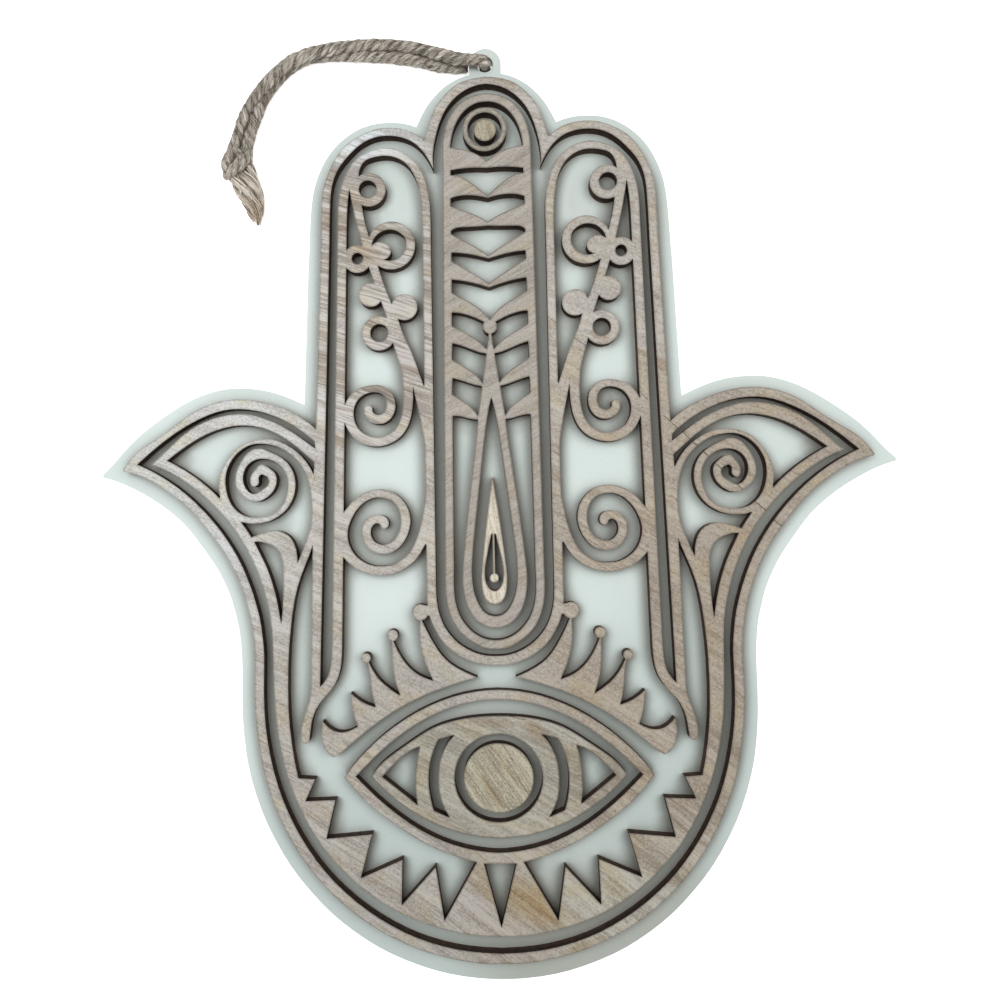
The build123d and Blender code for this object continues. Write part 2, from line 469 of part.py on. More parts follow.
PANEL_DROP = [
    [(0, 24.89), (1.2, 18.97), (2.06, 12.47), (2.92, 5.69), (3.7, -0.61),
     (4.35, -6.0), (4.76, -10.4), (4.84, -13.72), (4.53, -16.58),
     (3.68, -19.23), (2.16, -21.4), (0, -22.16)],
]

DROP_EDGE = [
    [(0, 7.7), (0.53, 4.39), (1.05, 0.98), (1.59, -3.02), (2.07, -6.91),
     (2.51, -10.81), (2.76, -14.43), (2.5, -17.13), (1.58, -19.0),
     (0, -19.66)],
]
DROP_CUT = [
    [(0.2, -13.0), (0.2, -4.6)],
    [(0.2, -4.6), (0.51, -4.6)],
    [(0.51, -4.6), (0.96, -6.8), (1.47, -9.1), (1.88, -11.3), (2.01, -13.3),
     (1.67, -15.2), (0.91, -16.4), (0, -16.8)],
]

EYE_EDGE = [
    [(0, -43.59), (3.64, -43.71), (7.28, -44.13), (10.95, -44.96),
     (14.49, -46.33), (18.06, -48.49), (21.66, -50.93), (24.93, -53.42),
     (27.39, -56.46)],
    [(27.39, -56.46), (24.83, -59.2), (21.68, -61.93), (18.1, -64.42),
     (14.41, -66.46), (10.84, -67.89), (7.2, -68.98), (3.59, -69.59),
     (0, -69.83)],
]
EYE_CRESCENT = [
    [(9.2, -47.56), (12.78, -48.53)],
    [(12.78, -48.53), (13.99, -51.15), (14.77, -53.97), (15.07, -56.99),
     (14.83, -60.4), (14.02, -63.88)],
    [(14.02, -63.88), (10.59, -65.4)],
    [(10.59, -65.4), (11.89, -63.1), (12.74, -60.4), (12.98, -57.3),
     (12.72, -54.13), (11.98, -51.48), (10.82, -49.33), (9.2, -47.56)],
]
EYE_TRIANGLE = [
    [(16.76, -49.99), (19.0, -50.98), (21.56, -52.89), (23.55, -54.83),
     (25.08, -56.49)],
    [(25.08, -56.49), (17.51, -62.6)],
    [(17.51, -62.6), (17.91, -59.4), (17.88, -56.0), (17.54, -53.0),
     (16.76, -49.99)],
]

# Twine: the strand that comes up through the hole, the one that goes down
# behind the tab, and the two tails beyond the knot.
FRONT_ROUTE = [
    (0.0, TAB_Y, 0.5), (0.0, TAB_Y, TWINE_TOP), (-5.27, 98.5, TWINE_TOP),
    (-10.75, 101.0, 2.2), (-17.75, 103.2, TWINE_Z), (-27.38, 104.6, TWINE_Z),
    (-37.92, 104.1, TWINE_Z), (-45.33, 100.8, TWINE_Z),
    (-50.29, 95.0, TWINE_Z), (-53.94, 89.3, TWINE_Z),
    (-56.38, 83.6, 1.8), (-56.68, 80.0, 2.1),
]
BACK_ROUTE = [
    (-4.01, 98.2, TWINE_Z), (-10.34, 97.9, TWINE_Z),
    (-17.44, 100.6, TWINE_Z), (-27.18, 101.95, TWINE_Z),
    (-37.11, 101.5, TWINE_Z), (-43.5, 98.7, TWINE_Z),
    (-48.06, 93.4, TWINE_Z), (-51.61, 88.0, TWINE_Z),
    (-53.74, 83.2, 1.8), (-54.15, 80.0, 2.1),
]
TAIL_A_ROUTE = [
    (-56.58, 80.0, 2.0), (-55.47, 75.2, TWINE_Z), (-53.74, 70.8, TWINE_Z),
    (-51.92, 66.6, TWINE_Z),
]
TAIL_B_ROUTE = [
    (-53.94, 80.0, 2.0), (-52.83, 75.2, TWINE_Z), (-51.21, 70.9, TWINE_Z),
    (-49.18, 66.3, TWINE_Z),
]

# ------------------------------------------------------------ backing board
with BuildPart() as backing_plate:
    with BuildSketch(Plane.XY):
        with BuildLine():
            draw(*BOARD_EDGE)
            mirror(about=Plane.YZ)
        make_face()
        with Locations((0, TAB_Y)):
            Circle(TAB_R)
        with Locations((0, (TAB_Y + ARCH_Y) / 2 - 0.5)):
            Rectangle(2 * TAB_R, TAB_Y - ARCH_Y + 1.0)
        with Locations((0, TAB_Y)):
            Circle(HOLE_R, mode=Mode.SUBTRACT)
    extrude(amount=BOARD_T)
backing_plate.part.label = "backing_plate"

# ------------------------------------------------------------- fret overlay
with BuildPart() as fret_overlay:
    with BuildSketch(Plane.XY.offset(WOOD_Z)):
        with BuildLine():
            draw(*FRET_EDGE)
            mirror(about=Plane.YZ)
        make_face()
        with BuildLine():
            draw(*FINGER_CHANNEL)
            mirror(about=Plane.YZ)
        make_face(mode=Mode.SUBTRACT)
        with BuildLine():
            draw(*BOWL_CHANNEL)
            mirror(about=Plane.YZ)
        make_face(mode=Mode.SUBTRACT)
        with BuildLine():
            draw(*PALM_OPENING)
            mirror(about=Plane.YZ)
        make_face(mode=Mode.SUBTRACT)
        with BuildLine():
            draw(*CENTRE_RAY)
            mirror(about=Plane.YZ)
        make_face(mode=Mode.SUBTRACT)
        with BuildLine():
            draw(*EYE_OPENING)
            mirror(about=Plane.YZ)
        make_face(mode=Mode.SUBTRACT)
        with BuildSketch(mode=Mode.PRIVATE) as side_openings:
            with BuildLine():
                draw(*THUMB_OPENING)
            make_face()
            with BuildLine():
                draw(*LEAF_OPENING)
            make_face()
            mirror(about=Plane.YZ)
        add(side_openings.sketch, mode=Mode.SUBTRACT)
        with BuildSketch(mode=Mode.PRIVATE) as scrolls:
            with BuildLine():
                draw(*VINE)
            make_face()
            with BuildLine():
                draw(*SPIRAL_UPPER)
            make_face()
            with BuildLine():
                draw(*SPIRAL_LOWER)
            make_face()
            with BuildLine():
                draw(*LASHES)
            make_face()
            with BuildLine():
                Polyline(*LASH_NECK, close=True)
            make_face()
            for centre, radius in LASH_BALLS + VINE_LOBES:
                with Locations(centre):
                    Circle(radius)
            for centre, radius, hole, hole_radius in VINE_RINGS:
                with Locations(centre):
                    Circle(radius)
            for centre, radius, hole, hole_radius in VINE_RINGS:
                with Locations(hole):
                    Circle(hole_radius, mode=Mode.SUBTRACT)
            with BuildLine():
                draw(*CRESCENT_HOLE)
            make_face(mode=Mode.SUBTRACT)
            with BuildLine():
                draw(*THUMB_SPIRAL)
            make_face()
            mirror(about=Plane.YZ)
        add(scrolls.sketch)
    extrude(amount=WOOD_T)
fret_overlay.part.label = "fret_overlay"

# ------------------------------------------------------- loose finger panel
with BuildPart() as finger_panel:
    with BuildSketch(Plane.XY.offset(WOOD_Z)):
        with BuildLine():
            draw(*PANEL_EDGE)
            mirror(about=Plane.YZ)
        make_face()
        with BuildLine():
            draw(*PANEL_TIP)
            mirror(about=Plane.YZ)
        make_face(mode=Mode.SUBTRACT)
        for rung in PANEL_RUNGS + [PANEL_FORK, PANEL_DROP]:
            with BuildLine():
                draw(*rung)
                mirror(about=Plane.YZ)
            make_face(mode=Mode.SUBTRACT)
        for rung in PANEL_SIDE_RUNGS:
            with BuildSketch(mode=Mode.PRIVATE) as pair:
                with BuildLine():
                    draw(*rung)
                make_face()
                mirror(about=Plane.YZ)
            add(pair.sketch, mode=Mode.SUBTRACT)
    extrude(amount=WOOD_T)
finger_panel.part.label = "finger_panel"

# ------------------------------------------------------ ring, dot, teardrop
with BuildPart() as finger_ring:
    with BuildSketch(Plane.XY.offset(WOOD_Z)):
        with Locations(RING_C):
            Circle(RING_RO)
            Circle(RING_RI, mode=Mode.SUBTRACT)
    extrude(amount=WOOD_T)
finger_ring.part.label = "finger_ring"

with BuildPart() as finger_dot:
    with BuildSketch(Plane.XY.offset(WOOD_Z)):
        with Locations(DOT_C):
            Circle(DOT_R)
    extrude(amount=WOOD_T)
finger_dot.part.label = "finger_dot"

with BuildPart() as teardrop_inlay:
    with BuildSketch(Plane(origin=(DROP_X, 0, WOOD_Z))):
        with BuildLine():
            draw(*DROP_EDGE)
            mirror(about=Plane.YZ)
        make_face()
        with BuildLine():
            ThreePointArc((0, -15.0), (1.0, -14.0), (0.2, -13.0))
            draw(*DROP_CUT)
            mirror(about=Plane.YZ)
        make_face(mode=Mode.SUBTRACT)
    extrude(amount=WOOD_T)
teardrop_inlay.part.label = "teardrop_inlay"

# ------------------------------------------------------------ eye and pupil
with BuildPart() as eye_inlay:
    with BuildSketch(Plane.XY.offset(WOOD_Z)):
        with BuildLine():
            draw(*EYE_EDGE)
            mirror(about=Plane.YZ)
        make_face()
        with Locations(EYE_C):
            Circle(IRIS_R, mode=Mode.SUBTRACT)
        with BuildSketch(mode=Mode.PRIVATE) as eye_cuts:
            with BuildLine():
                draw(*EYE_CRESCENT)
            make_face()
            with BuildLine():
                draw(*EYE_TRIANGLE)
            make_face()
            mirror(about=Plane.YZ)
        add(eye_cuts.sketch, mode=Mode.SUBTRACT)
    extrude(amount=WOOD_T)
eye_inlay.part.label = "eye_inlay"

with BuildPart() as pupil_disc:
    with BuildSketch(Plane.XY.offset(WOOD_Z)):
        with Locations(EYE_C):
            Circle(PUPIL_R)
    extrude(amount=WOOD_T)
pupil_disc.part.label = "pupil_disc"

# -------------------------------------------------------------------- twine
with BuildPart() as cord_knot:
    with BuildSketch(Plane.XY.offset(0.05)):
        with Locations(Location((KNOT_C[0], KNOT_C[1], 0), (0, 0, KNOT_TURN))):
            Ellipse(KNOT_A, KNOT_B)
    extrude(amount=KNOT_H)
    fillet(cord_knot.edges(), radius=KNOT_SOFT)
cord_knot.part.label = "cord_knot"

with BuildPart() as cord_front_strand:
    with BuildLine() as front_line:
        FilletPolyline(*FRONT_ROUTE, radius=bends(FRONT_ROUTE))
    with BuildSketch(Plane(origin=front_line.line @ 0,
                           z_dir=front_line.line % 0)):
        Circle(TWINE_R)
    sweep(path=front_line.line)
    add(cord_knot.part, mode=Mode.SUBTRACT)
cord_front_strand.part.label = "cord_front_strand"

with BuildPart() as cord_back_strand:
    with BuildLine() as back_line:
        FilletPolyline(*BACK_ROUTE, radius=bends(BACK_ROUTE))
    with BuildSketch(Plane(origin=back_line.line @ 0,
                           z_dir=back_line.line % 0)):
        Circle(TWINE_R)
    sweep(path=back_line.line)
    add(cord_knot.part, mode=Mode.SUBTRACT)
cord_back_strand.part.label = "cord_back_strand"

with BuildPart() as cord_tail_a:
    with BuildLine() as tail_a_line:
        FilletPolyline(*TAIL_A_ROUTE, radius=bends(TAIL_A_ROUTE))
    with BuildSketch(Plane(origin=tail_a_line.line @ 0,
                           z_dir=tail_a_line.line % 0)):
        Circle(TWINE_R)
    sweep(path=tail_a_line.line)
    add(cord_knot.part, mode=Mode.SUBTRACT)
cord_tail_a.part.label = "cord_tail_a"

with BuildPart() as cord_tail_b:
    with BuildLine() as tail_b_line:
        FilletPolyline(*TAIL_B_ROUTE, radius=bends(TAIL_B_ROUTE))
    with BuildSketch(Plane(origin=tail_b_line.line @ 0,
                           z_dir=tail_b_line.line % 0)):
        Circle(TWINE_R)
    sweep(path=tail_b_line.line)
    add(cord_knot.part, mode=Mode.SUBTRACT)
cord_tail_b.part.label = "cord_tail_b"

# -------------------------------------------------------------------- export
export_step(backing_plate.part, "parts/backing_plate.step")
export_step(fret_overlay.part, "parts/fret_overlay.step")
export_step(finger_panel.part, "parts/finger_panel.step")
export_step(finger_ring.part, "parts/finger_ring.step")
export_step(finger_dot.part, "parts/finger_dot.step")
export_step(teardrop_inlay.part, "parts/teardrop_inlay.step")
export_step(eye_inlay.part, "parts/eye_inlay.step")
export_step(pupil_disc.part, "parts/pupil_disc.step")
export_step(cord_front_strand.part, "parts/cord_front_strand.step")
export_step(cord_back_strand.part, "parts/cord_back_strand.step")
export_step(cord_knot.part, "parts/cord_knot.step")
export_step(cord_tail_a.part, "parts/cord_tail_a.step")
export_step(cord_tail_b.part, "parts/cord_tail_b.step")

for piece in (backing_plate, fret_overlay, finger_panel, finger_ring,
              finger_dot, teardrop_inlay, eye_inlay, pupil_disc,
              cord_front_strand, cord_back_strand, cord_knot, cord_tail_a,
              cord_tail_b):
    box = piece.part.bounding_box()
    print(piece.part.label, len(piece.part.solids()),
          round(piece.part.volume, 1), box.min, box.max)
for name, route, line in (("front", FRONT_ROUTE, front_line),
                          ("back", BACK_ROUTE, back_line),
                          ("tail a", TAIL_A_ROUTE, tail_a_line),
                          ("tail b", TAIL_B_ROUTE, tail_b_line)):
    length = sum(edge.length for edge in line.line.edges())
    print(name, "length", round(length, 1), "tube volume",
          round(length * math.pi * TWINE_R ** 2, 1), "bends",
          [round(r, 2) for r in bends(route)])
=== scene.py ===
import math
import random

import bpy
from mathutils import Matrix, Vector


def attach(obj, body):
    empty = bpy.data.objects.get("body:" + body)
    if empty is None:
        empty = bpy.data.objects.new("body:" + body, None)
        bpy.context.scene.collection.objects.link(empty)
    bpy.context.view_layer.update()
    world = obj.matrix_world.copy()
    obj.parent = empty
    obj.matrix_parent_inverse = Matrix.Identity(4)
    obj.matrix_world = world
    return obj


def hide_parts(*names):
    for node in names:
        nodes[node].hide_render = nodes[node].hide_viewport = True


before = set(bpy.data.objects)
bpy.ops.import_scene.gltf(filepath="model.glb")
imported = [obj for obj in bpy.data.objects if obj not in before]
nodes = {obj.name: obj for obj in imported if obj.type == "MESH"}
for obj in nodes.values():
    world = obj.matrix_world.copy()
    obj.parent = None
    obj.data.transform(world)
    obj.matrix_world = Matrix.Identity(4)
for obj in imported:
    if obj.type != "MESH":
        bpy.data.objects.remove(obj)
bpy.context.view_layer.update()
scene = bpy.context.scene
MM = 0.001


# ------------------------------------------------------------------ camera
def rotation(rx, ry, rz):
    axis = Vector((math.radians(rx), math.radians(ry), math.radians(rz)))
    return Matrix.Rotation(axis.length, 4, axis.normalized())


cam_data = bpy.data.cameras.new("camera")
cam_data.sensor_width = 36.0
cam_data.lens = 0.96722 * 36.0
cam_data.shift_x = 0.04764
cam_data.shift_y = 0.0162
cam_data.clip_start = 0.005
cam_data.clip_end = 20.0
camera = bpy.data.objects.new("camera", cam_data)
scene.collection.objects.link(camera)
camera.matrix_world = (Matrix.Translation((0.0, -0.0017, 0.214))
                       @ rotation(0.2867, 2.4431, -1.1088))
scene.camera = camera

scene.view_settings.view_transform = "Standard"
scene.view_settings.look = "None"
scene.view_settings.exposure = 0.0
scene.view_settings.gamma = 1.0


# --------------------------------------------------------- node-tree helper
class Tree:
    """Short calls for building a material's node tree."""

    def __init__(self, name):
        self.mat = bpy.data.materials.new(name)
        self.mat.use_nodes = True
        self.nt = self.mat.node_tree
        self.nt.nodes.clear()
        self.out = self.nt.nodes.new("ShaderNodeOutputMaterial")
        self.bsdf = self.nt.nodes.new("ShaderNodeBsdfPrincipled")
        self.nt.links.new(self.bsdf.outputs[0], self.out.inputs[0])

    def put(self, socket, value):
        if isinstance(value, bpy.types.NodeSocket):
            self.nt.links.new(value, socket)
        elif isinstance(value, (tuple, list)) and len(value) == 3 \
                and socket.type == "RGBA":
            socket.default_value = (*value, 1.0)
        else:
            socket.default_value = value

    def m(self, op, a, b=None, c=None, clamp=False):
        n = self.nt.nodes.new("ShaderNodeMath")
        n.operation = op
        n.use_clamp = clamp
        for i, v in enumerate((a, b, c)):
            if v is not None:
                self.put(n.inputs[i], v)
        return n.outputs[0]

    def add(self, a, b):
        return self.m("ADD", a, b)

    def sub(self, a, b):
        return self.m("SUBTRACT", a, b)

    def mul(self, a, b):
        return self.m("MULTIPLY", a, b)

    def step(self, v, lo, hi):
        """0 below lo, 1 above hi, smooth between; lo may be above hi."""
        n = self.nt.nodes.new("ShaderNodeMapRange")
        n.interpolation_type = "SMOOTHSTEP"
        flip = lo > hi
        self.put(n.inputs[0], v)
        n.inputs[1].default_value = min(lo, hi)
        n.inputs[2].default_value = max(lo, hi)
        n.inputs[3].default_value = 1.0 if flip else 0.0
        n.inputs[4].default_value = 0.0 if flip else 1.0
        return n.outputs[0]

    def span(self, v, a, b, c, d):
        n = self.nt.nodes.new("ShaderNodeMapRange")
        self.put(n.inputs[0], v)
        for i, x in enumerate((a, b, c, d)):
            n.inputs[i + 1].default_value = x
        return n.outputs[0]

    def xyz(self, x, y, z=0.0):
        n = self.nt.nodes.new("ShaderNodeCombineXYZ")
        for i, v in enumerate((x, y, z)):
            self.put(n.inputs[i], v)
        return n.outputs[0]

    def split(self, v):
        n = self.nt.nodes.new("ShaderNodeSeparateXYZ")
        self.put(n.inputs[0], v)
        return n.outputs[0], n.outputs[1], n.outputs[2]

    def noise(self, v, scale=1.0, detail=3.0, rough=0.5, distort=0.0):
        n = self.nt.nodes.new("ShaderNodeTexNoise")
        self.put(n.inputs["Vector"], v)
        n.inputs["Scale"].default_value = scale
        n.inputs["Detail"].default_value = detail
        n.inputs["Roughness"].default_value = rough
        n.inputs["Distortion"].default_value = distort
        return n.outputs["Fac"]

    def mix(self, fac, a, b, how="MIX"):
        n = self.nt.nodes.new("ShaderNodeMix")
        n.data_type = "RGBA"
        n.blend_type = how
        self.put(n.inputs[0], fac)
        self.put(n.inputs[6], a)
        self.put(n.inputs[7], b)
        return n.outputs[2]

    def ramp(self, fac, stops):
        n = self.nt.nodes.new("ShaderNodeValToRGB")
        self.put(n.inputs[0], fac)
        r = n.color_ramp
        while len(r.elements) < len(stops):
            r.elements.new(0.5)
        for e, (p, c) in zip(r.elements, stops):
            e.position = p
            e.color = (*c, 1.0)
        return n.outputs[0]

    def millimetres(self):
        n = self.nt.nodes.new("ShaderNodeTexCoord")
        s = self.nt.nodes.new("ShaderNodeVectorMath")
        s.operation = "SCALE"
        self.nt.links.new(n.outputs["Object"], s.inputs[0])
        s.inputs["Scale"].default_value = 1000.0
        return s.outputs[0]

    def normal_z(self):
        n = self.nt.nodes.new("ShaderNodeNewGeometry")
        return self.split(n.outputs["True Normal"])[2]

    def bump(self, height, strength, distance):
        n = self.nt.nodes.new("ShaderNodeBump")
        self.put(n.inputs["Height"], height)
        n.inputs["Strength"].default_value = strength
        n.inputs["Distance"].default_value = distance
        self.nt.links.new(n.outputs[0], self.bsdf.inputs["Normal"])

    def set(self, **kw):
        for k, v in kw.items():
            self.put(self.bsdf.inputs[k.replace("_", " ")], v)


# ---------------------------------------------------------------- materials
def wood(name, slope, bend, light, mid, dark, contrast, streak, stipple,
         tint_and_sheen=None, bold=None, calm=None, patchy=0.0, stains=(), cracks=(),
         seed=0.0, wander=5.0, gloss=0.5, scorch=0.85):
    """Laser-cut plywood: streaked and stippled face, scorched cut edges.

    slope and bend lay out the grain lines y + slope*x + bend*x*y = const;
    calm, an ellipse, is where the streaks fade and only the stipple is left.
    """
    t = Tree(name)
    p = t.millimetres()
    x, y, z = t.split(p)
    big = t.noise(t.xyz(t.mul(x, 0.022), t.mul(y, 0.022), seed), 1.0, 2.0)
    small = t.noise(t.xyz(t.mul(x, 0.11), t.mul(y, 0.11), seed + 2), 1.0, 2.0)
    line = t.add(t.add(y, t.mul(x, slope)),
                 t.add(t.mul(t.mul(x, y), bend),
                       t.add(t.mul(t.sub(big, 0.5), wander),
                             t.mul(t.sub(small, 0.5), wander * 0.25))))
    along = t.sub(x, t.mul(y, slope))
    wide = t.noise(t.xyz(t.mul(along, 0.012), t.mul(line, 0.17), seed + 3),
                   1.0, 3.0, 0.55)
    middle = t.noise(t.xyz(t.mul(along, 0.035), t.mul(line, 0.80), seed + 7),
                     1.0, 3.0, 0.6)
    fine = t.noise(t.xyz(t.mul(along, 0.20), t.mul(line, 3.0), seed + 11),
                   1.0, 3.0, 0.6)
    hair = t.noise(t.xyz(t.mul(along, 0.10), t.mul(line, 2.2), seed + 17),
                   1.0, 2.0, 0.5)
    pores = t.noise(t.xyz(t.mul(along, 1.7), t.mul(line, 2.6), seed + 23),
                    1.0, 1.0, 0.6)
    speck = t.noise(t.xyz(t.mul(x, 2.4), t.mul(y, 2.4), seed + 27),
                    1.0, 1.0, 0.6)
    dash = t.noise(t.xyz(t.mul(along, 0.75), t.mul(line, 2.3), seed + 29),
                   1.0, 1.0, 0.5)
    f = t.add(t.mul(t.sub(wide, 0.5), 1.0 * contrast),
              t.add(t.mul(t.sub(middle, 0.5), 1.0 * contrast),
                    t.mul(t.sub(fine, 0.5), 0.75 * contrast)))
    if bold is not None:
        (bx, by, ra, rb, gain) = bold
        u = t.m("DIVIDE", t.sub(x, bx), ra)
        v = t.m("DIVIDE", t.sub(y, by), rb)
        r = t.add(t.mul(u, u), t.mul(v, v))
        r = t.add(r, t.mul(t.sub(big, 0.5), 1.2))
        zone = t.step(r, 1.3, 0.35)
        f = t.mul(f, t.add(1.0, t.mul(zone, gain)))
    if calm is not None:
        quiet = None
        for (bx, by, ra, rb) in calm:
            u = t.m("DIVIDE", t.sub(x, bx), ra)
            v = t.m("DIVIDE", t.sub(y, by), rb)
            r = t.add(t.add(t.mul(u, u), t.mul(v, v)),
                      t.mul(t.sub(big, 0.5), 1.0))
            k = t.step(r, 1.4, 0.6)
            quiet = k if quiet is None else t.m("MAXIMUM", quiet, k)
        f = t.mul(f, t.sub(1.0, t.mul(quiet, 0.60)))
    f = t.add(f, t.mul(t.sub(pores, 0.5), stipple))
    f = t.add(f, t.mul(t.sub(speck, 0.5), stipple))
    f = t.sub(f, t.mul(t.step(dash, 0.60, 0.72), 0.30 * stipple))
    f = t.m("ADD", f, 0.5, clamp=True)
    col = t.ramp(f, [(0.08, dark), (0.5, mid), (0.92, light)])
    # thin dark grain lines
    hair2 = t.noise(t.xyz(t.mul(along, 0.07), t.mul(line, 1.5), seed + 37),
                    1.0, 2.0, 0.5)
    lines = t.mul(t.m("MAXIMUM", t.step(hair, 0.56, 0.68),
                      t.step(hair2, 0.57, 0.66)), streak)
    if bold is not None:
        lines = t.m("MULTIPLY", lines, t.add(0.60, t.mul(zone, 1.1)),
                    clamp=True)
        vein = t.noise(t.xyz(t.mul(along, 0.030), t.mul(line, 0.52),
                             seed + 31), 1.0, 3.0, 0.6)
        vein = t.mul(t.step(vein, 0.50, 0.64), t.mul(zone, 0.62))
        col = t.mix(vein, col, tuple(c * k for c, k in
                                     zip(dark, (0.98, 0.90, 0.84))))
    col = t.mix(lines, col, (0.40, 0.36, 0.33), "MULTIPLY")
    # greyer and yellower patches
    if patchy:
        blot = t.noise(t.xyz(t.mul(along, 0.10), t.mul(line, 0.16),
                             seed + 41), 1.0, 2.0, 0.5)
        col = t.mix(t.mul(t.step(blot, 0.52, 0.66), patchy), col,
                    (1.0, 0.955, 0.84), "MULTIPLY")
        col = t.mix(t.mul(t.step(blot, 0.48, 0.34), patchy), col,
                    (0.955, 0.945, 0.975), "MULTIPLY")
    # slow change of tint over the sheet, and lighter zones of painted sheen
    if tint_and_sheen is not None:
        drift = t.mul(t.sub(big, 0.5), 26.0)
        for (x0, x1, y0, y1, shade) in tint_and_sheen:
            here = t.mul(t.step(t.add(x, drift), x0, x1),
                         t.step(t.sub(y, drift), y0, y1))
            col = t.mix(here, col, shade, "MULTIPLY")
    # brown heartwood stains
    for sx, sy, ra, rb, turn, shade, much in stains:
        ca, sa = math.cos(math.radians(turn)), math.sin(math.radians(turn))
        dx, dy = t.sub(x, sx), t.sub(y, sy)
        a = t.m("DIVIDE", t.add(t.mul(dx, ca), t.mul(dy, sa)), ra)
        b = t.m("DIVIDE", t.sub(t.mul(dy, ca), t.mul(dx, sa)), rb)
        r = t.add(t.mul(a, a), t.mul(b, b))
        r = t.add(r, t.mul(t.sub(middle, 0.5), 1.6))
        col = t.mix(t.mul(t.step(r, 1.15, 0.0), much), col, shade, "MULTIPLY")
    # hairline cracks
    split_mask = None
    for ax, ay, bx, by, half in cracks:
        length = math.hypot(bx - ax, by - ay)
        ux, uy = (bx - ax) / length, (by - ay) / length
        dx, dy = t.sub(x, ax), t.sub(y, ay)
        s = t.add(t.mul(dx, ux), t.mul(dy, uy))
        d = t.sub(t.mul(dy, ux), t.mul(dx, uy))
        jig = t.noise(t.xyz(t.mul(s, 0.9), seed, ax), 1.0, 3.0, 0.6)
        d = t.m("ABSOLUTE", t.add(d, t.mul(t.sub(jig, 0.5), 0.55)))
        k = t.mul(t.step(d, half * 1.6, half * 0.4),
                  t.mul(t.step(s, -0.05, 0.05),
                        t.step(s, length + 0.05, length - 0.05)))
        split_mask = k if split_mask is None else t.m("MAXIMUM", split_mask, k)
    if split_mask is not None:
        col = t.mix(t.mul(split_mask, 0.75), col, (0.040, 0.027, 0.020))
    # a thin scorched line along every cut edge
    n = t.nt.nodes.new("ShaderNodeBevel")
    n.samples = 6
    n.inputs["Radius"].default_value = 0.0008
    edge = t.step(t.split(n.outputs[0])[2], 0.975, 0.86)
    col = t.mix(t.mul(edge, scorch), col, (0.060, 0.045, 0.034))
    # scorched cut walls, with the plies showing faintly
    nz = t.normal_z()
    soot = t.noise(t.xyz(t.mul(x, 0.8), t.mul(y, 0.8), t.mul(z, 0.25)),
                   1.0, 3.0, 0.6)
    ply = t.noise(t.xyz(t.mul(x, 0.05), t.mul(y, 0.05), t.mul(z, 1.5)),
                  1.0, 2.0, 0.5)
    burn = t.ramp(t.add(t.mul(soot, 0.6), t.mul(ply, 0.4)),
                  [(0.30, (0.018, 0.009, 0.006)), (0.52, (0.042, 0.022, 0.015)),
                   (0.72, (0.080, 0.046, 0.032))])
    # browner at the foot, charred near the face
    burn = t.mix(t.step(z, 5.0, 3.0), burn, (1.75, 1.65, 1.45), "MULTIPLY")
    burn = t.mix(t.step(z, 4.4, 5.8), burn, (0.70, 0.68, 0.66), "MULTIPLY")
    wall = t.step(nz, 0.93, 0.80)
    col = t.mix(wall, col, burn)
    rough = t.add(t.mul(t.sub(fine, 0.5), 0.30), gloss)
    rough = t.m("MAXIMUM", rough, t.mul(wall, 0.95))
    t.set(Base_Color=col, Roughness=rough, Specular_IOR_Level=0.45)
    h = t.add(t.mul(fine, 0.5), t.mul(pores, 0.5))
    if split_mask is not None:
        h = t.sub(h, t.mul(split_mask, 2.0))
    t.bump(h, 0.5, 0.00008)
    return t.mat


BROWN = (0.84, 0.745, 0.63)
RUST = (0.80, 0.675, 0.55)

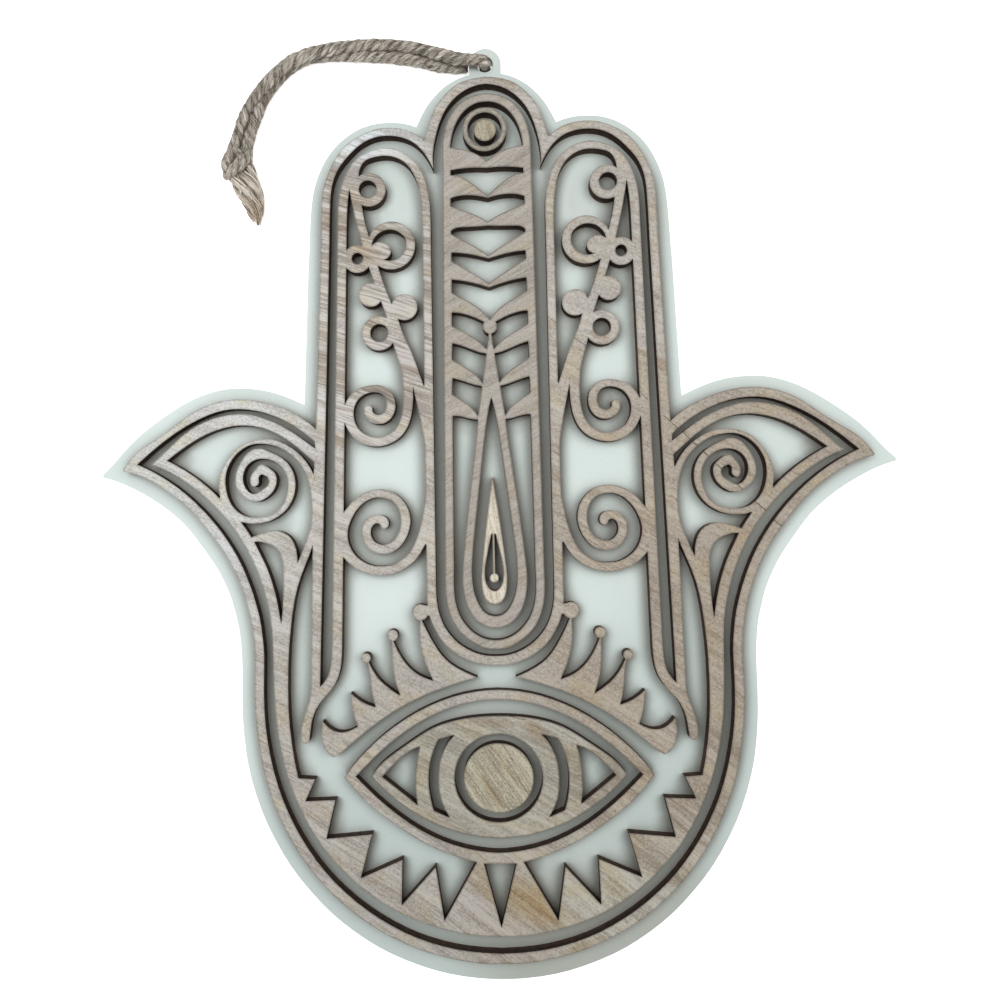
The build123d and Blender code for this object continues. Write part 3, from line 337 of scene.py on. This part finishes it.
fret_wood = wood(
    "fret_wood", 0.50, -0.0030,
    (0.525, 0.497, 0.456), (0.430, 0.400, 0.360), (0.300, 0.262, 0.224),
    1.55, 0.42, 1.05,
    # browner towards the right, silvered and lit by a painted sheen on the left
    # thumb and on the tip of the left finger, paler at the lower right
    tint_and_sheen=[(-14.0, 26.0, 42.0, 18.0, (0.88, 0.82, 0.74)),
          (-30.0, -54.0, -36.0, -8.0, (1.25, 1.35, 1.45)),
          (-4.0, -14.0, 66.0, 84.0, (1.40, 1.60, 1.80)),
          (8.0, 24.0, -62.0, -84.0, (1.15, 1.25, 1.30))],
    calm=[(34.0, 52.0, 22.0, 46.0), (66.0, 8.0, 30.0, 40.0),
          (-66.0, 6.0, 22.0, 26.0), (0.0, -36.0, 40.0, 16.0)],
    patchy=0.9,
    bold=(-27.0, 50.0, 19.0, 36.0, 1.9),
    stains=[
        (36.5, 31.0, 2.6, 1.6, -30, RUST, 0.85),
        (32.6, 33.5, 2.4, 0.9, -30, RUST, 0.8),
        (13.2, 40.0, 2.2, 1.0, -30, BROWN, 0.8),
        (23.4, 37.6, 3.0, 1.2, -25, RUST, 0.7),
        (-34.0, 74.0, 3.5, 2.2, -28, BROWN, 0.75),
        (-33.5, 62.5, 4.5, 2.4, -24, RUST, 0.7),
        (-26.5, 57.0, 6.0, 2.2, -22, BROWN, 0.75),
        (-13.3, 52.5, 2.4, 1.4, -30, RUST, 0.8),
        (-36.0, 40.0, 4.0, 2.4, -24, BROWN, 0.5),
        (3.4, -82.2, 15.0, 5.0, -30, (0.97, 0.875, 0.69), 1.0),
        (6.5, -84.0, 9.0, 2.0, -32, (0.88, 0.79, 0.64), 0.8),
        (17.0, -93.3, 6.0, 1.6, 24, RUST, 0.7),
        (52.0, -9.0, 8.0, 3.0, 60, BROWN, 0.4),
        (66.0, 19.5, 9.0, 2.2, -32, BROWN, 0.4),
        (47.5, -14.0, 7.0, 3.0, -70, BROWN, 0.4),
    ],
    cracks=[
        (40.6, 16.5, 61.2, -4.3, 0.10),
        (12.5, 41.8, 14.3, 40.4, 0.07),
        (17.8, 37.3, 20.4, 35.4, 0.07),
        (32.0, 24.9, 33.5, 23.5, 0.07),
        (36.5, 20.1, 39.7, 17.3, 0.08),
    ],
    seed=1.3, gloss=0.48, scorch=0.56)

panel_wood = wood(
    "panel_wood", -0.55, 0.0,
    (0.440, 0.405, 0.362), (0.372, 0.338, 0.298), (0.270, 0.238, 0.204),
    1.25, 0.24, 1.05, patchy=0.8, seed=5.1, gloss=0.55)

eye_wood = wood(
    "eye_wood", 0.50, 0.0,
    (0.480, 0.455, 0.395), (0.402, 0.378, 0.322), (0.285, 0.258, 0.212),
    1.5, 0.32, 1.0, patchy=0.9,
    stains=[
        (8.2, -46.8, 4.5, 1.9, -35, RUST, 0.9),
        (13.5, -51.0, 3.0, 1.5, -50, BROWN, 0.7),
        (-2.0, -45.0, 8.0, 1.1, -4, BROWN, 0.7),
        (19.0, -53.5, 3.5, 1.6, -60, BROWN, 0.5),
        (-14.0, -66.5, 10.0, 2.0, -25, BROWN, 0.35),
        (22.0, -57.0, 7.0, 8.0, 0, (0.86, 0.81, 0.74), 0.8),
    ],
    cracks=[(2.5, -43.7, 6.0, -44.5, 0.08)],
    seed=9.7)

pupil_wood = wood(
    "pupil_wood", 1.55, 0.0,
    (0.520, 0.488, 0.385), (0.415, 0.380, 0.285), (0.250, 0.218, 0.155),
    2.0, 0.6, 1.5,
    stains=[(-1.5, -60.0, 6.0, 1.0, -57, (0.76, 0.68, 0.57), 0.9),
            (2.0, -55.0, 7.0, 1.2, -57, (0.88, 0.82, 0.72), 0.7)],
    seed=13.9, wander=2.0)

dot_wood = wood(
    "dot_wood", 4.5, 0.0,
    (0.470, 0.425, 0.325), (0.370, 0.330, 0.240), (0.230, 0.198, 0.135),
    2.0, 0.50, 1.2, seed=17.3, wander=1.0)

drop_wood = wood(
    "drop_wood", 7.0, 0.0,
    (0.760, 0.695, 0.590), (0.650, 0.585, 0.475), (0.430, 0.370, 0.285),
    1.9, 0.35, 1.3, seed=21.1, wander=1.0)

ring_wood = wood(
    "ring_wood", 0.42, 0.0,
    (0.400, 0.362, 0.310), (0.330, 0.295, 0.248), (0.250, 0.220, 0.180),
    1.4, 0.25, 1.8, seed=25.7)


def painted_board():
    """Pale mint-white paint; painted shade beside the cut wood, with a brown
    trace of soot in it.
    """
    t = Tree("painted_board")
    p = t.millimetres()
    x, y, z = t.split(p)
    cloud = t.noise(t.xyz(t.mul(x, 0.03), t.mul(y, 0.03), 2.0), 1.0, 3.0)
    grit = t.noise(p, 2.6, 3.0, 0.6)
    peel = t.noise(p, 0.75, 2.0, 0.5)
    col = t.ramp(t.add(t.mul(cloud, 0.6), t.mul(grit, 0.4)),
                 [(0.30, (0.632, 0.718, 0.695)), (0.55, (0.686, 0.772, 0.750)),
                  (0.75, (0.726, 0.812, 0.790))])
    specks = t.mul(t.step(t.noise(p, 1.4, 2.0, 0.7), 0.66, 0.74), 0.18)
    col = t.mix(specks, col, (0.45, 0.48, 0.45))
    # painted shade: the paint is darkened, with a brown sooty tint, where the
    # cut wood hides the sky; less near the top
    sky = []
    for lean in (-0.75, 0.75):
        n = t.nt.nodes.new("ShaderNodeAmbientOcclusion")
        n.samples = 6
        n.inputs["Distance"].default_value = 0.0042
        t.put(n.inputs["Normal"], t.xyz(lean, 0.0, 0.66))
        sky.append(n.outputs["AO"])
    n = t.nt.nodes.new("ShaderNodeAmbientOcclusion")
    n.samples = 6
    n.inputs["Distance"].default_value = 0.0042
    side_sky = t.mul(t.m("MINIMUM", sky[0], sky[1]), 1.25)
    open_sky = t.add(t.mul(side_sky, 0.50), t.mul(n.outputs["AO"], 0.50))
    soot_and_shade = t.m("MULTIPLY", t.step(open_sky, 0.95, 0.28),
                t.add(0.80, t.mul(t.sub(cloud, 0.5), 0.5)), clamp=True)
    soot_and_shade = t.mul(soot_and_shade, t.sub(1.0, t.mul(t.step(y, 58.0, 84.0), 0.66)))
    col = t.mix(soot_and_shade, col, (0.47, 0.405, 0.36), "MULTIPLY")
    # painted shade, deepest in the narrow channels between the walls
    deep_shade = t.mul(t.step(side_sky, 0.72, 0.10),
                 t.sub(1.0, t.mul(t.step(y, 58.0, 84.0), 0.50)))
    col = t.mix(deep_shade, col, (0.36, 0.322, 0.300), "MULTIPLY")
    # painted shade: the upper and the lower part darker, where less light
    # falls; browner at the lower right of the foot
    high = t.add(y, t.add(t.mul(x, 0.25), t.mul(t.sub(cloud, 0.5), 40.0)))
    rim = t.mul(t.step(open_sky, 0.86, 0.97), 1.0)
    col = t.mix(t.mul(t.step(high, 38.0, 82.0), t.add(0.35, t.mul(rim, 0.75))),
                col, (0.82, 0.80, 0.79), "MULTIPLY")
    low = t.add(t.add(y, t.mul(t.step(x, -20.0, -60.0), 34.0)),
                t.mul(t.sub(cloud, 0.5), 40.0))
    col = t.mix(t.step(low, -10.0, -46.0), col, (0.86, 0.87, 0.87),
                "MULTIPLY")
    col = t.mix(t.mul(t.step(low, -62.0, -88.0), t.step(x, -16.0, 6.0)), col,
                (0.79, 0.74, 0.705), "MULTIPLY")
    t.set(Base_Color=col, Roughness=t.add(0.44, t.mul(peel, 0.14)),
          Specular_IOR_Level=0.35)
    t.bump(t.add(t.mul(peel, 0.7), t.mul(grit, 0.3)), 0.25, 0.00008)
    return t.mat


def jute(name, light, mid, dark, tip=False):
    """Jute fibre: streaks along each ply, taken from the mesh's own uv."""
    t = Tree(name)
    n = t.nt.nodes.new("ShaderNodeUVMap")
    n.uv_map = "fibre"
    u, v, _ = t.split(n.outputs[0])
    strands = t.noise(t.xyz(t.mul(u, 0.55), t.mul(v, 9.0), 1.0), 1.0, 3.0, 0.6)
    clumps = t.noise(t.xyz(t.mul(u, 0.25), t.mul(v, 2.0), 7.0), 1.0, 3.0, 0.6)
    f = t.add(t.mul(strands, 0.65), t.mul(clumps, 0.35))
    col = t.ramp(f, [(0.30, dark), (0.50, mid), (0.68, light)])
    # painted shade in the crevices between the plies, lighter on the loose
    # fibres
    n = t.nt.nodes.new("ShaderNodeAmbientOcclusion")
    n.samples = 6
    n.inputs["Distance"].default_value = 0.0013
    col = t.mix(t.step(n.outputs["AO"], 0.80, 0.25), col,
                (0.58, 0.53, 0.48) if tip else (0.20, 0.175, 0.15), "MULTIPLY")
    if tip:
        # every loose fibre has a shade of its own
        cell = t.noise(t.xyz(t.mul(t.m("FLOOR", v), 3.71), 0.5, 2.0), 1.0, 0.0)
        col = t.mix(t.step(cell, 0.52, 0.34), col, (0.28, 0.25, 0.22),
                    "MULTIPLY")
        col = t.mix(t.step(cell, 0.50, 0.68), col, (1.40, 1.40, 1.40),
                    "MULTIPLY")
        # the frayed ends are browner towards their tips
        y = t.split(t.millimetres())[1]
        patch = t.add(y, t.mul(t.sub(clumps, 0.5), 5.0))
        col = t.mix(t.step(patch, 73.0, 66.0), col, (0.93, 0.84, 0.75),
                    "MULTIPLY")
    t.set(Base_Color=col, Roughness=0.85, Specular_IOR_Level=0.2,
          Sheen_Weight=0.15, Sheen_Roughness=0.5)
    t.bump(strands, 0.6, 0.00012)
    return t.mat


board_mat = painted_board()
twine_mat = jute("twine", (0.780, 0.730, 0.655), (0.400, 0.362, 0.315),
                 (0.095, 0.080, 0.065))
fray_mat = jute("twine_frayed", (0.950, 0.900, 0.825), (0.780, 0.712, 0.628),
                (0.250, 0.210, 0.172), True)
fuzz_mat = jute("twine_fuzz", (0.900, 0.845, 0.765), (0.560, 0.510, 0.445),
                (0.130, 0.110, 0.090), True)

for node, mat in (("backing_plate", board_mat), ("fret_overlay", fret_wood),
                  ("finger_panel", panel_wood), ("finger_ring", ring_wood),
                  ("finger_dot", dot_wood), ("teardrop_inlay", drop_wood),
                  ("eye_inlay", eye_wood), ("pupil_disc", pupil_wood)):
    o = nodes[node]
    o.data.materials.clear()
    o.data.materials.append(mat)
    for f in o.data.polygons:
        f.material_index = 0


# -------------------------------------------------------------------- twine
def nurbs_points(name, route, step_count=24):
    """Points along the smooth line through a route of control points."""
    cu = bpy.data.curves.new(name + "_line", "CURVE")
    cu.dimensions = "3D"
    sp = cu.splines.new("NURBS")
    sp.points.add(len(route) - 1)
    for q, (a, b, c) in zip(sp.points, route):
        q.co = (a * MM, b * MM, c * MM, 1.0)
    sp.order_u = 3
    sp.use_endpoint_u = True
    sp.resolution_u = step_count
    ob = bpy.data.objects.new(name + "_line", cu)
    me = bpy.data.meshes.new_from_object(ob)
    pts = [v.co.copy() for v in me.vertices]
    bpy.data.meshes.remove(me)
    bpy.data.objects.remove(ob)
    bpy.data.curves.remove(cu)
    return pts


def even(pts, gap):
    """The same line with points at an even spacing."""
    out = [pts[0].copy()]
    left = gap
    for a, b in zip(pts, pts[1:]):
        d = (b - a).length
        s = 0.0
        while d - s >= left:
            s += left
            out.append(a.lerp(b, s / d))
            left = gap
        left -= d - s
    if (out[-1] - pts[-1]).length > gap * 0.3:
        out.append(pts[-1].copy())
    return out


def frames_along(pts):
    """Tangent and two normals at every point, without twist."""
    tang = []
    for i in range(len(pts)):
        a, b = pts[max(0, i - 1)], pts[min(len(pts) - 1, i + 1)]
        tang.append((b - a).normalized())
    up = Vector((0, 0, 1))
    n = up - tang[0] * up.dot(tang[0])
    if n.length < 0.2:
        n = Vector((0, 1, 0)) - tang[0] * tang[0].y
    n.normalize()
    out = []
    for t in tang:
        n = (n - t * n.dot(t)).normalized()
        out.append((t, n, t.cross(n)))
    return out


class Soup:
    """Collects tubes into one mesh, with a fibre uv."""

    def __init__(self):
        self.v, self.f, self.uv = [], [], []

    def tube(self, centres, radii, sides, shape=None, v0=0.0, u0=0.0,
             rings=None):
        fr = frames_along(centres)
        base = len(self.v)
        run = u0
        us = []
        for i, (c, (t, n, b)) in enumerate(zip(centres, fr)):
            if i:
                run += (c - centres[i - 1]).length * 1000.0
            us.append(run)
            for k in range(sides):
                a = 2 * math.pi * k / sides
                r = radii[i] * (shape(i, k) if shape else 1.0)
                q = c + (n * math.cos(a) + b * math.sin(a)) * r
                if q.z < 0.00003:
                    q.z = 0.00003
                self.v.append(q)
        for i in range(len(centres) - 1):
            for k in range(sides):
                k2 = (k + 1) % sides
                self.f.append((base + i * sides + k, base + i * sides + k2,
                               base + (i + 1) * sides + k2,
                               base + (i + 1) * sides + k))
                va, vb = v0 + k / sides, v0 + (k + 1) / sides
                self.uv.append(((us[i], va), (us[i], vb), (us[i + 1], vb),
                                (us[i + 1], va)))
        for i, flip in ((0, True), (len(centres) - 1, False)):
            ring = [base + i * sides + k for k in range(sides)]
            self.f.append(tuple(reversed(ring)) if flip else tuple(ring))
            self.uv.append(tuple((us[i], v0) for _ in ring))

    def object(self, name, mat):
        me = bpy.data.meshes.new(name)
        me.from_pydata([tuple(v) for v in self.v], [], self.f)
        layer = me.uv_layers.new(name="fibre")
        k = 0
        for loops in self.uv:
            for c in loops:
                layer.data[k].uv = c
                k += 1
        me.materials.append(mat)
        for p in me.polygons:
            p.use_smooth = True
        me.update()
        o = bpy.data.objects.new(name, me)
        scene.collection.objects.link(o)
        return o


def smooth_noise(rng, n, gap):
    """n values that wander between -1 and 1, knots every gap steps."""
    k = [rng.uniform(-1, 1) for _ in range(n // gap + 3)]
    out = []
    for i in range(n):
        a, f = divmod(i, gap)
        f /= gap
        f = f * f * (3 - 2 * f)
        out.append(k[a] * (1 - f) + k[a + 1] * f)
    return out


def lay_twine(soup, pts, rng, radius, pitch, plies=3, phase=0.0):
    """Twisted plies round a line; gives back each ply's centres and radii."""
    pts = even(pts, 0.00022)
    fr = frames_along(pts)
    n = len(pts)
    helix = radius * 0.50
    ply_r = radius * 0.60
    wobble = smooth_noise(rng, n, 18)
    yarns = []
    for j in range(plies):
        swell = smooth_noise(rng, n, 14)
        turn = smooth_noise(rng, n, 34)
        cs, rs = [], []
        ang = phase + 2 * math.pi * j / plies
        for i in range(n):
            ang -= (0.22 * MM / pitch) * 2 * math.pi
            a = ang + 0.55 * turn[i]
            t, u, b = fr[i]
            h = helix * (1 + 0.18 * wobble[i])
            cs.append(pts[i] + (u * math.cos(a) + b * math.sin(a)) * h)
            rs.append(ply_r * (1 + 0.17 * swell[i]))
        yarn = [smooth_noise(rng, n, 9) for _ in range(12)]

        def bumpy(i, k, yarn=yarn):
            # fibres wind round the ply: a shallow ridge every few sides
            return 1 + 0.05 * math.cos(k * math.pi + i * 0.12) \
                + 0.10 * yarn[k][i]

        soup.tube(cs, rs, 12, bumpy, v0=j * 1.37, u0=j * 5.0)
        yarns.append((cs, rs))
    return yarns


def surface_fibres(soup, yarns, rng, count, thick):
    """Single fibres that lie on the plies and lift a little at their ends."""
    for _ in range(count):
        cs, rs = yarns[rng.randrange(len(yarns))]
        n = len(cs)
        length = min(rng.randrange(12, 32), n - 3)
        i0 = rng.randrange(0, n - length - 1)
        fr = frames_along(cs[i0:i0 + length + 1])
        a = rng.uniform(0, 2 * math.pi)
        rate = rng.uniform(-0.02, 0.05)
        lift = rng.uniform(0.0, 0.25)
        line = []
        for k in range(0, length + 1, 3):
            q = k / length
            t, u, b = fr[k]
            w = a + rate * k
            r = rs[i0 + k] * (1.03 + lift * (2 * q - 1) ** 4)
            c = cs[i0 + k] + (u * math.cos(w) + b * math.sin(w)) * r
            if c.z < 0.00006:
                c.z = 0.00006
            line.append(c)
        r0 = thick * rng.uniform(0.6, 1.3)
        m = len(line) - 1
        soup.tube(line, [r0 * (1 - 0.7 * abs(2 * k / m - 1) ** 3)
                         for k in range(m + 1)], 4, None,
                  v0=rng.randrange(400), u0=rng.random() * 40)


def wrap_fibres(soup, pts, rng, count, radius, thick, pitch):
    """Fibres worked loose from the twist, lying slantwise over the plies."""
    line = even(pts, 0.0004)
    fr = frames_along(line)
    n = len(line)
    for _ in range(count):
        length = min(rng.randrange(7, 20), n - 3)
        i0 = rng.randrange(0, n - length - 1)
        a = rng.uniform(0, 2 * math.pi)
        rate = -rng.uniform(-0.5, 1.5) * 2 * math.pi * 0.4 * MM / pitch
        r0 = radius * rng.uniform(0.97, 1.08)
        lift = rng.uniform(0.0, 0.22)
        wave = smooth_noise(rng, length + 1, 4)
        cs = []
        for k in range(length + 1):
            t, u, b = fr[i0 + k]
            w = a + rate * k + 0.16 * wave[k]
            r = r0 * (1 + lift * (2 * k / length - 1) ** 4)
            c = line[i0 + k] + (u * math.cos(w) + b * math.sin(w)) * r
            if c.z < 0.00006:
                c.z = 0.00006
            cs.append(c)
        r1 = thick * rng.uniform(0.5, 1.4)
        soup.tube(cs, [r1 * (1 - 0.75 * abs(2 * k / length - 1) ** 3)
                       for k in range(length + 1)], 3, None,
                  v0=rng.randrange(400), u0=rng.random() * 40)


def hairs(soup, pts, rng, count, radius, reach, thick, floor=True):
    """Loose fibres that stand off a strand."""
    fr = frames_along(pts)
    for _ in range(count):
        i = rng.randrange(2, len(pts) - 2)
        t, u, b = fr[i]
        a = rng.uniform(0, 2 * math.pi)
        out = u * math.cos(a) + b * math.sin(a)
        way = t if rng.random() < 0.5 else -t
        side = out.cross(t)
        length = reach * rng.uniform(0.35, 1.0)
        lift = rng.uniform(0.10, 0.55)
        curl = rng.uniform(-0.8, 0.8)
        c = pts[i] + out * radius * rng.uniform(0.75, 0.95)
        line = []
        steps = 7
        for k in range(steps):
            s = k / (steps - 1)
            q = c + way * length * s + out * length * lift * s * (1 - 0.35 * s)
            q += side * length * curl * s * s * 0.5
            if q.z < 0.00006:
                q.z = 0.00006
            line.append(q)
        r = thick * rng.uniform(0.6, 1.2)
        soup.tube(line, [r * (1 - 0.6 * k / (steps - 1)) for k in range(steps)],
                  3, None, v0=rng.randrange(400), u0=rng.random() * 40)


TWINE_R = 1.2 * MM

# The routes are those of the model's tubes, with more points: beside the hole
# and the tab so that the smooth line stays clear of the rim, and along the
# bend where one strand lies on the other.
FRONT = [(0.0, 98.0, 0.5), (0.0, 98.0, 3.4), (-0.15, 98.0, 4.75),
         (-1.9, 98.1, 4.85), (-4.2, 98.35, 4.7), (-7.0, 99.2, 4.0),
         (-10.75, 101.0, 2.6), (-15.51, 102.70, 2.0), (-20.86, 103.50, 1.9),
         (-26.14, 103.60, 2.1), (-31.37, 103.20, 2.6), (-35.29, 102.54, 3.0),
         (-39.24, 101.60, 3.3), (-42.81, 100.09, 3.3), (-46.24, 97.66, 3.1),
         (-48.80, 95.25, 2.8), (-51.60, 92.11, 2.1), (-53.76, 88.89, 1.5),
         (-54.96, 85.45, 1.3), (-56.18, 81.80, 1.6), (-56.90, 79.01, 2.0),
         (-56.40, 77.20, 2.0)]
BACK = [(-4.01, 98.2, 1.3), (-9.60, 98.6, 1.3), (-15.61, 100.45, 1.2),
        (-20.93, 101.30, 1.2), (-26.25, 101.80, 1.2), (-31.59, 102.13, 1.2),
        (-35.61, 102.27, 1.2), (-39.65, 101.72, 1.2), (-42.81, 100.19, 1.2),
        (-45.54, 97.85, 1.2), (-47.65, 95.48, 1.2), (-49.67, 92.41, 1.25),
        (-51.14, 88.87, 1.3), (-52.42, 85.35, 1.3), (-53.33, 81.70, 1.6),
        (-53.66, 78.89, 2.0), (-54.03, 77.20, 2.0)]
TAIL_A = [(-55.60, 76.96, 2.0), (-54.80, 74.03, 1.4), (-53.21, 70.44, 1.3),
          (-51.55, 65.60, 1.1)]
TAIL_B = [(-53.34, 77.77, 2.0), (-52.40, 74.80, 1.5), (-51.14, 71.68, 1.4),
          (-50.57, 68.10, 1.2), (-50.95, 64.95, 1.1)]
# the knot: a loop on the left, a wrap drawn over it, and the strands inside
KNOT = [[(-55.31, 82.67, 1.0), (-56.60, 80.55, 2.6), (-57.37, 78.36, 3.2),
         (-57.29, 76.95, 2.8), (-56.51, 76.20, 1.6), (-55.44, 76.10, 1.0)],
        [(-53.20, 81.68, 1.0), (-53.20, 79.77, 2.8), (-53.80, 78.27, 3.7),
         (-55.20, 77.01, 3.7), (-56.91, 76.31, 2.6), (-57.60, 76.30, 1.2)],
        [(-54.80, 81.87, 1.3), (-54.45, 79.85, 1.9), (-54.69, 77.60, 2.0),
         (-54.43, 76.20, 1.4)],
        [(-53.33, 82.04, 1.3), (-53.04, 79.87, 1.7), (-53.31, 77.88, 1.7),
         (-53.33, 76.44, 1.3)]]

front_pts = nurbs_points("front", FRONT)
back_pts = nurbs_points("back", BACK)
tail_a_pts = nurbs_points("tail_a", TAIL_A)
tail_b_pts = nurbs_points("tail_b", TAIL_B)


rng = random.Random(41)
fuzz = Soup()
s = Soup()
yarns = lay_twine(s, front_pts, rng, TWINE_R, 5.8 * MM)
surface_fibres(fuzz, yarns, rng, 520, 0.055 * MM)
wrap_fibres(fuzz, front_pts, rng, 620, TWINE_R, 0.048 * MM, 5.8 * MM)
twine_front = s.object("twine_front", twine_mat)
s = Soup()
yarns = lay_twine(s, back_pts, rng, TWINE_R, 5.6 * MM, phase=1.1)
surface_fibres(fuzz, yarns, rng, 440, 0.055 * MM)
wrap_fibres(fuzz, back_pts, rng, 540, TWINE_R, 0.048 * MM, 5.6 * MM)
twine_back = s.object("twine_back", twine_mat)
s = Soup()
knot_pts = [nurbs_points("knot_%d" % k, r) for k, r in enumerate(KNOT)]
for k, line in enumerate(knot_pts):
    yarns = lay_twine(s, line, rng, 1.15 * MM, 5.2 * MM, phase=0.7 * k)
    surface_fibres(fuzz, yarns, rng, 90, 0.055 * MM)
    wrap_fibres(fuzz, line, rng, 60, 1.12 * MM, 0.050 * MM, 5.2 * MM)
twine_knot = s.object("twine_knot", twine_mat)


# the tails: plies fallen open, a wedge of loose fibres with a little twist left
def wisp(soup, pts, rng, bundles, half):
    line = even(pts, 0.0004)
    fr = frames_along(line)
    n = len(line)
    for c in range(bundles):
        stray = c % 5 == 4
        first = 2 * math.pi * (c % 3) / 3 + rng.gauss(0, 0.42)
        turns = rng.uniform(-0.5, 1.0) if stray else rng.uniform(0.62, 0.95)
        off = 0.25 + 0.80 * math.sqrt(rng.random())
        reach = rng.uniform(0.78, 1.0)
        sway = smooth_noise(rng, n, 8)
        for _ in range(5 if stray else 10):
            ox, oz = rng.gauss(0, 0.14), rng.gauss(0, 0.14)
            last = int(n * min(1.0, reach * rng.uniform(0.86, 1.06)))
            bend = smooth_noise(rng, n, 6)
            r0 = rng.uniform(0.050, 0.115) * MM
            cs, rs = [], []
            for i in range(last):
                q = i / (n - 1)
                wide = half * (1.0 - 0.72 * q ** 2.6)
                t, u, b = fr[i]
                w = first + 2 * math.pi * turns * q + 0.25 * sway[i]
                px = max(-1.3, min(1.3, off * math.cos(w) + ox))
                pz = max(-1.2, min(1.2, off * math.sin(w) + oz))
                cs.append(line[i] + b * (px * wide + 0.10 * MM * bend[i])
                          + u * pz * wide * 0.70)
                rs.append(r0 * (1 - 0.5 * (i / last) ** 2))
            if last > 4:
                soup.tube(cs, rs, 4, None, v0=rng.randrange(400),
                          u0=rng.random() * 30)


s = Soup()
wisp(s, tail_a_pts, rng, 32, 1.5 * MM)
twine_tail_a = s.object("twine_tail_a", fray_mat)
s = Soup()
wisp(s, tail_b_pts, rng, 32, 1.4 * MM)
twine_tail_b = s.object("twine_tail_b", fray_mat)

fp, bp = even(front_pts, 0.0004), even(back_pts, 0.0004)
hairs(fuzz, fp[16:], rng, 420, TWINE_R, 2.6 * MM, 0.026 * MM)
hairs(fuzz, bp[6:], rng, 380, TWINE_R, 2.6 * MM, 0.026 * MM)
for line in knot_pts:
    hairs(fuzz, even(line, 0.0004), rng, 45, 1.1 * MM, 2.2 * MM, 0.026 * MM)
hairs(fuzz, even(tail_a_pts, 0.0004), rng, 70, 1.2 * MM, 3.2 * MM, 0.028 * MM)
hairs(fuzz, even(tail_b_pts, 0.0004), rng, 70, 1.2 * MM, 3.2 * MM, 0.028 * MM)
twine_fuzz = fuzz.object("twine_fuzz", fuzz_mat)

for o in (twine_front, twine_back, twine_knot, twine_tail_a, twine_tail_b,
          twine_fuzz):
    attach(o, "hanging_cord")
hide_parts("cord_front_strand")
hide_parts("cord_back_strand")
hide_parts("cord_knot")
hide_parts("cord_tail_a")
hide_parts("cord_tail_b")

# ---------------------------------------------------------- floor and light
bpy.ops.mesh.primitive_plane_add(size=4.0, location=(0, 0, 0))
floor = bpy.context.object
floor.name = "floor"
t = Tree("floor")
t.set(Base_Color=(0.90, 0.90, 0.90), Roughness=0.9, Specular_IOR_Level=0.1,
      Emission_Color=(1.0, 1.0, 1.0), Emission_Strength=0.65)
floor.data.materials.append(t.mat)

world = bpy.data.worlds.new("world")
world.use_nodes = True
bg = world.node_tree.nodes["Background"]
bg.inputs[0].default_value = (1.0, 0.985, 0.955, 1.0)
bg.inputs[1].default_value = 0.40
scene.world = world


def area(name, place, target, size, watts, colour, spread):
    li = bpy.data.lights.new(name, "AREA")
    li.shape = "DISK"
    li.size = size
    li.energy = watts
    li.color = colour
    li.spread = math.radians(spread)
    o = bpy.data.objects.new(name, li)
    o.location = place
    o.rotation_euler = (Vector(target) - Vector(place)).to_track_quat(
        "-Z", "Y").to_euler()
    scene.collection.objects.link(o)
    return o


area("key", (-0.16, 0.07, 0.42), (-0.03, 0.06, 0), 0.30, 0.385,
     (0.97, 0.99, 1.0), 100)
area("fill", (0.24, 0.06, 0.40), (0.01, 0.05, 0), 0.30, 0.20,
     (1.0, 0.985, 0.95), 100)
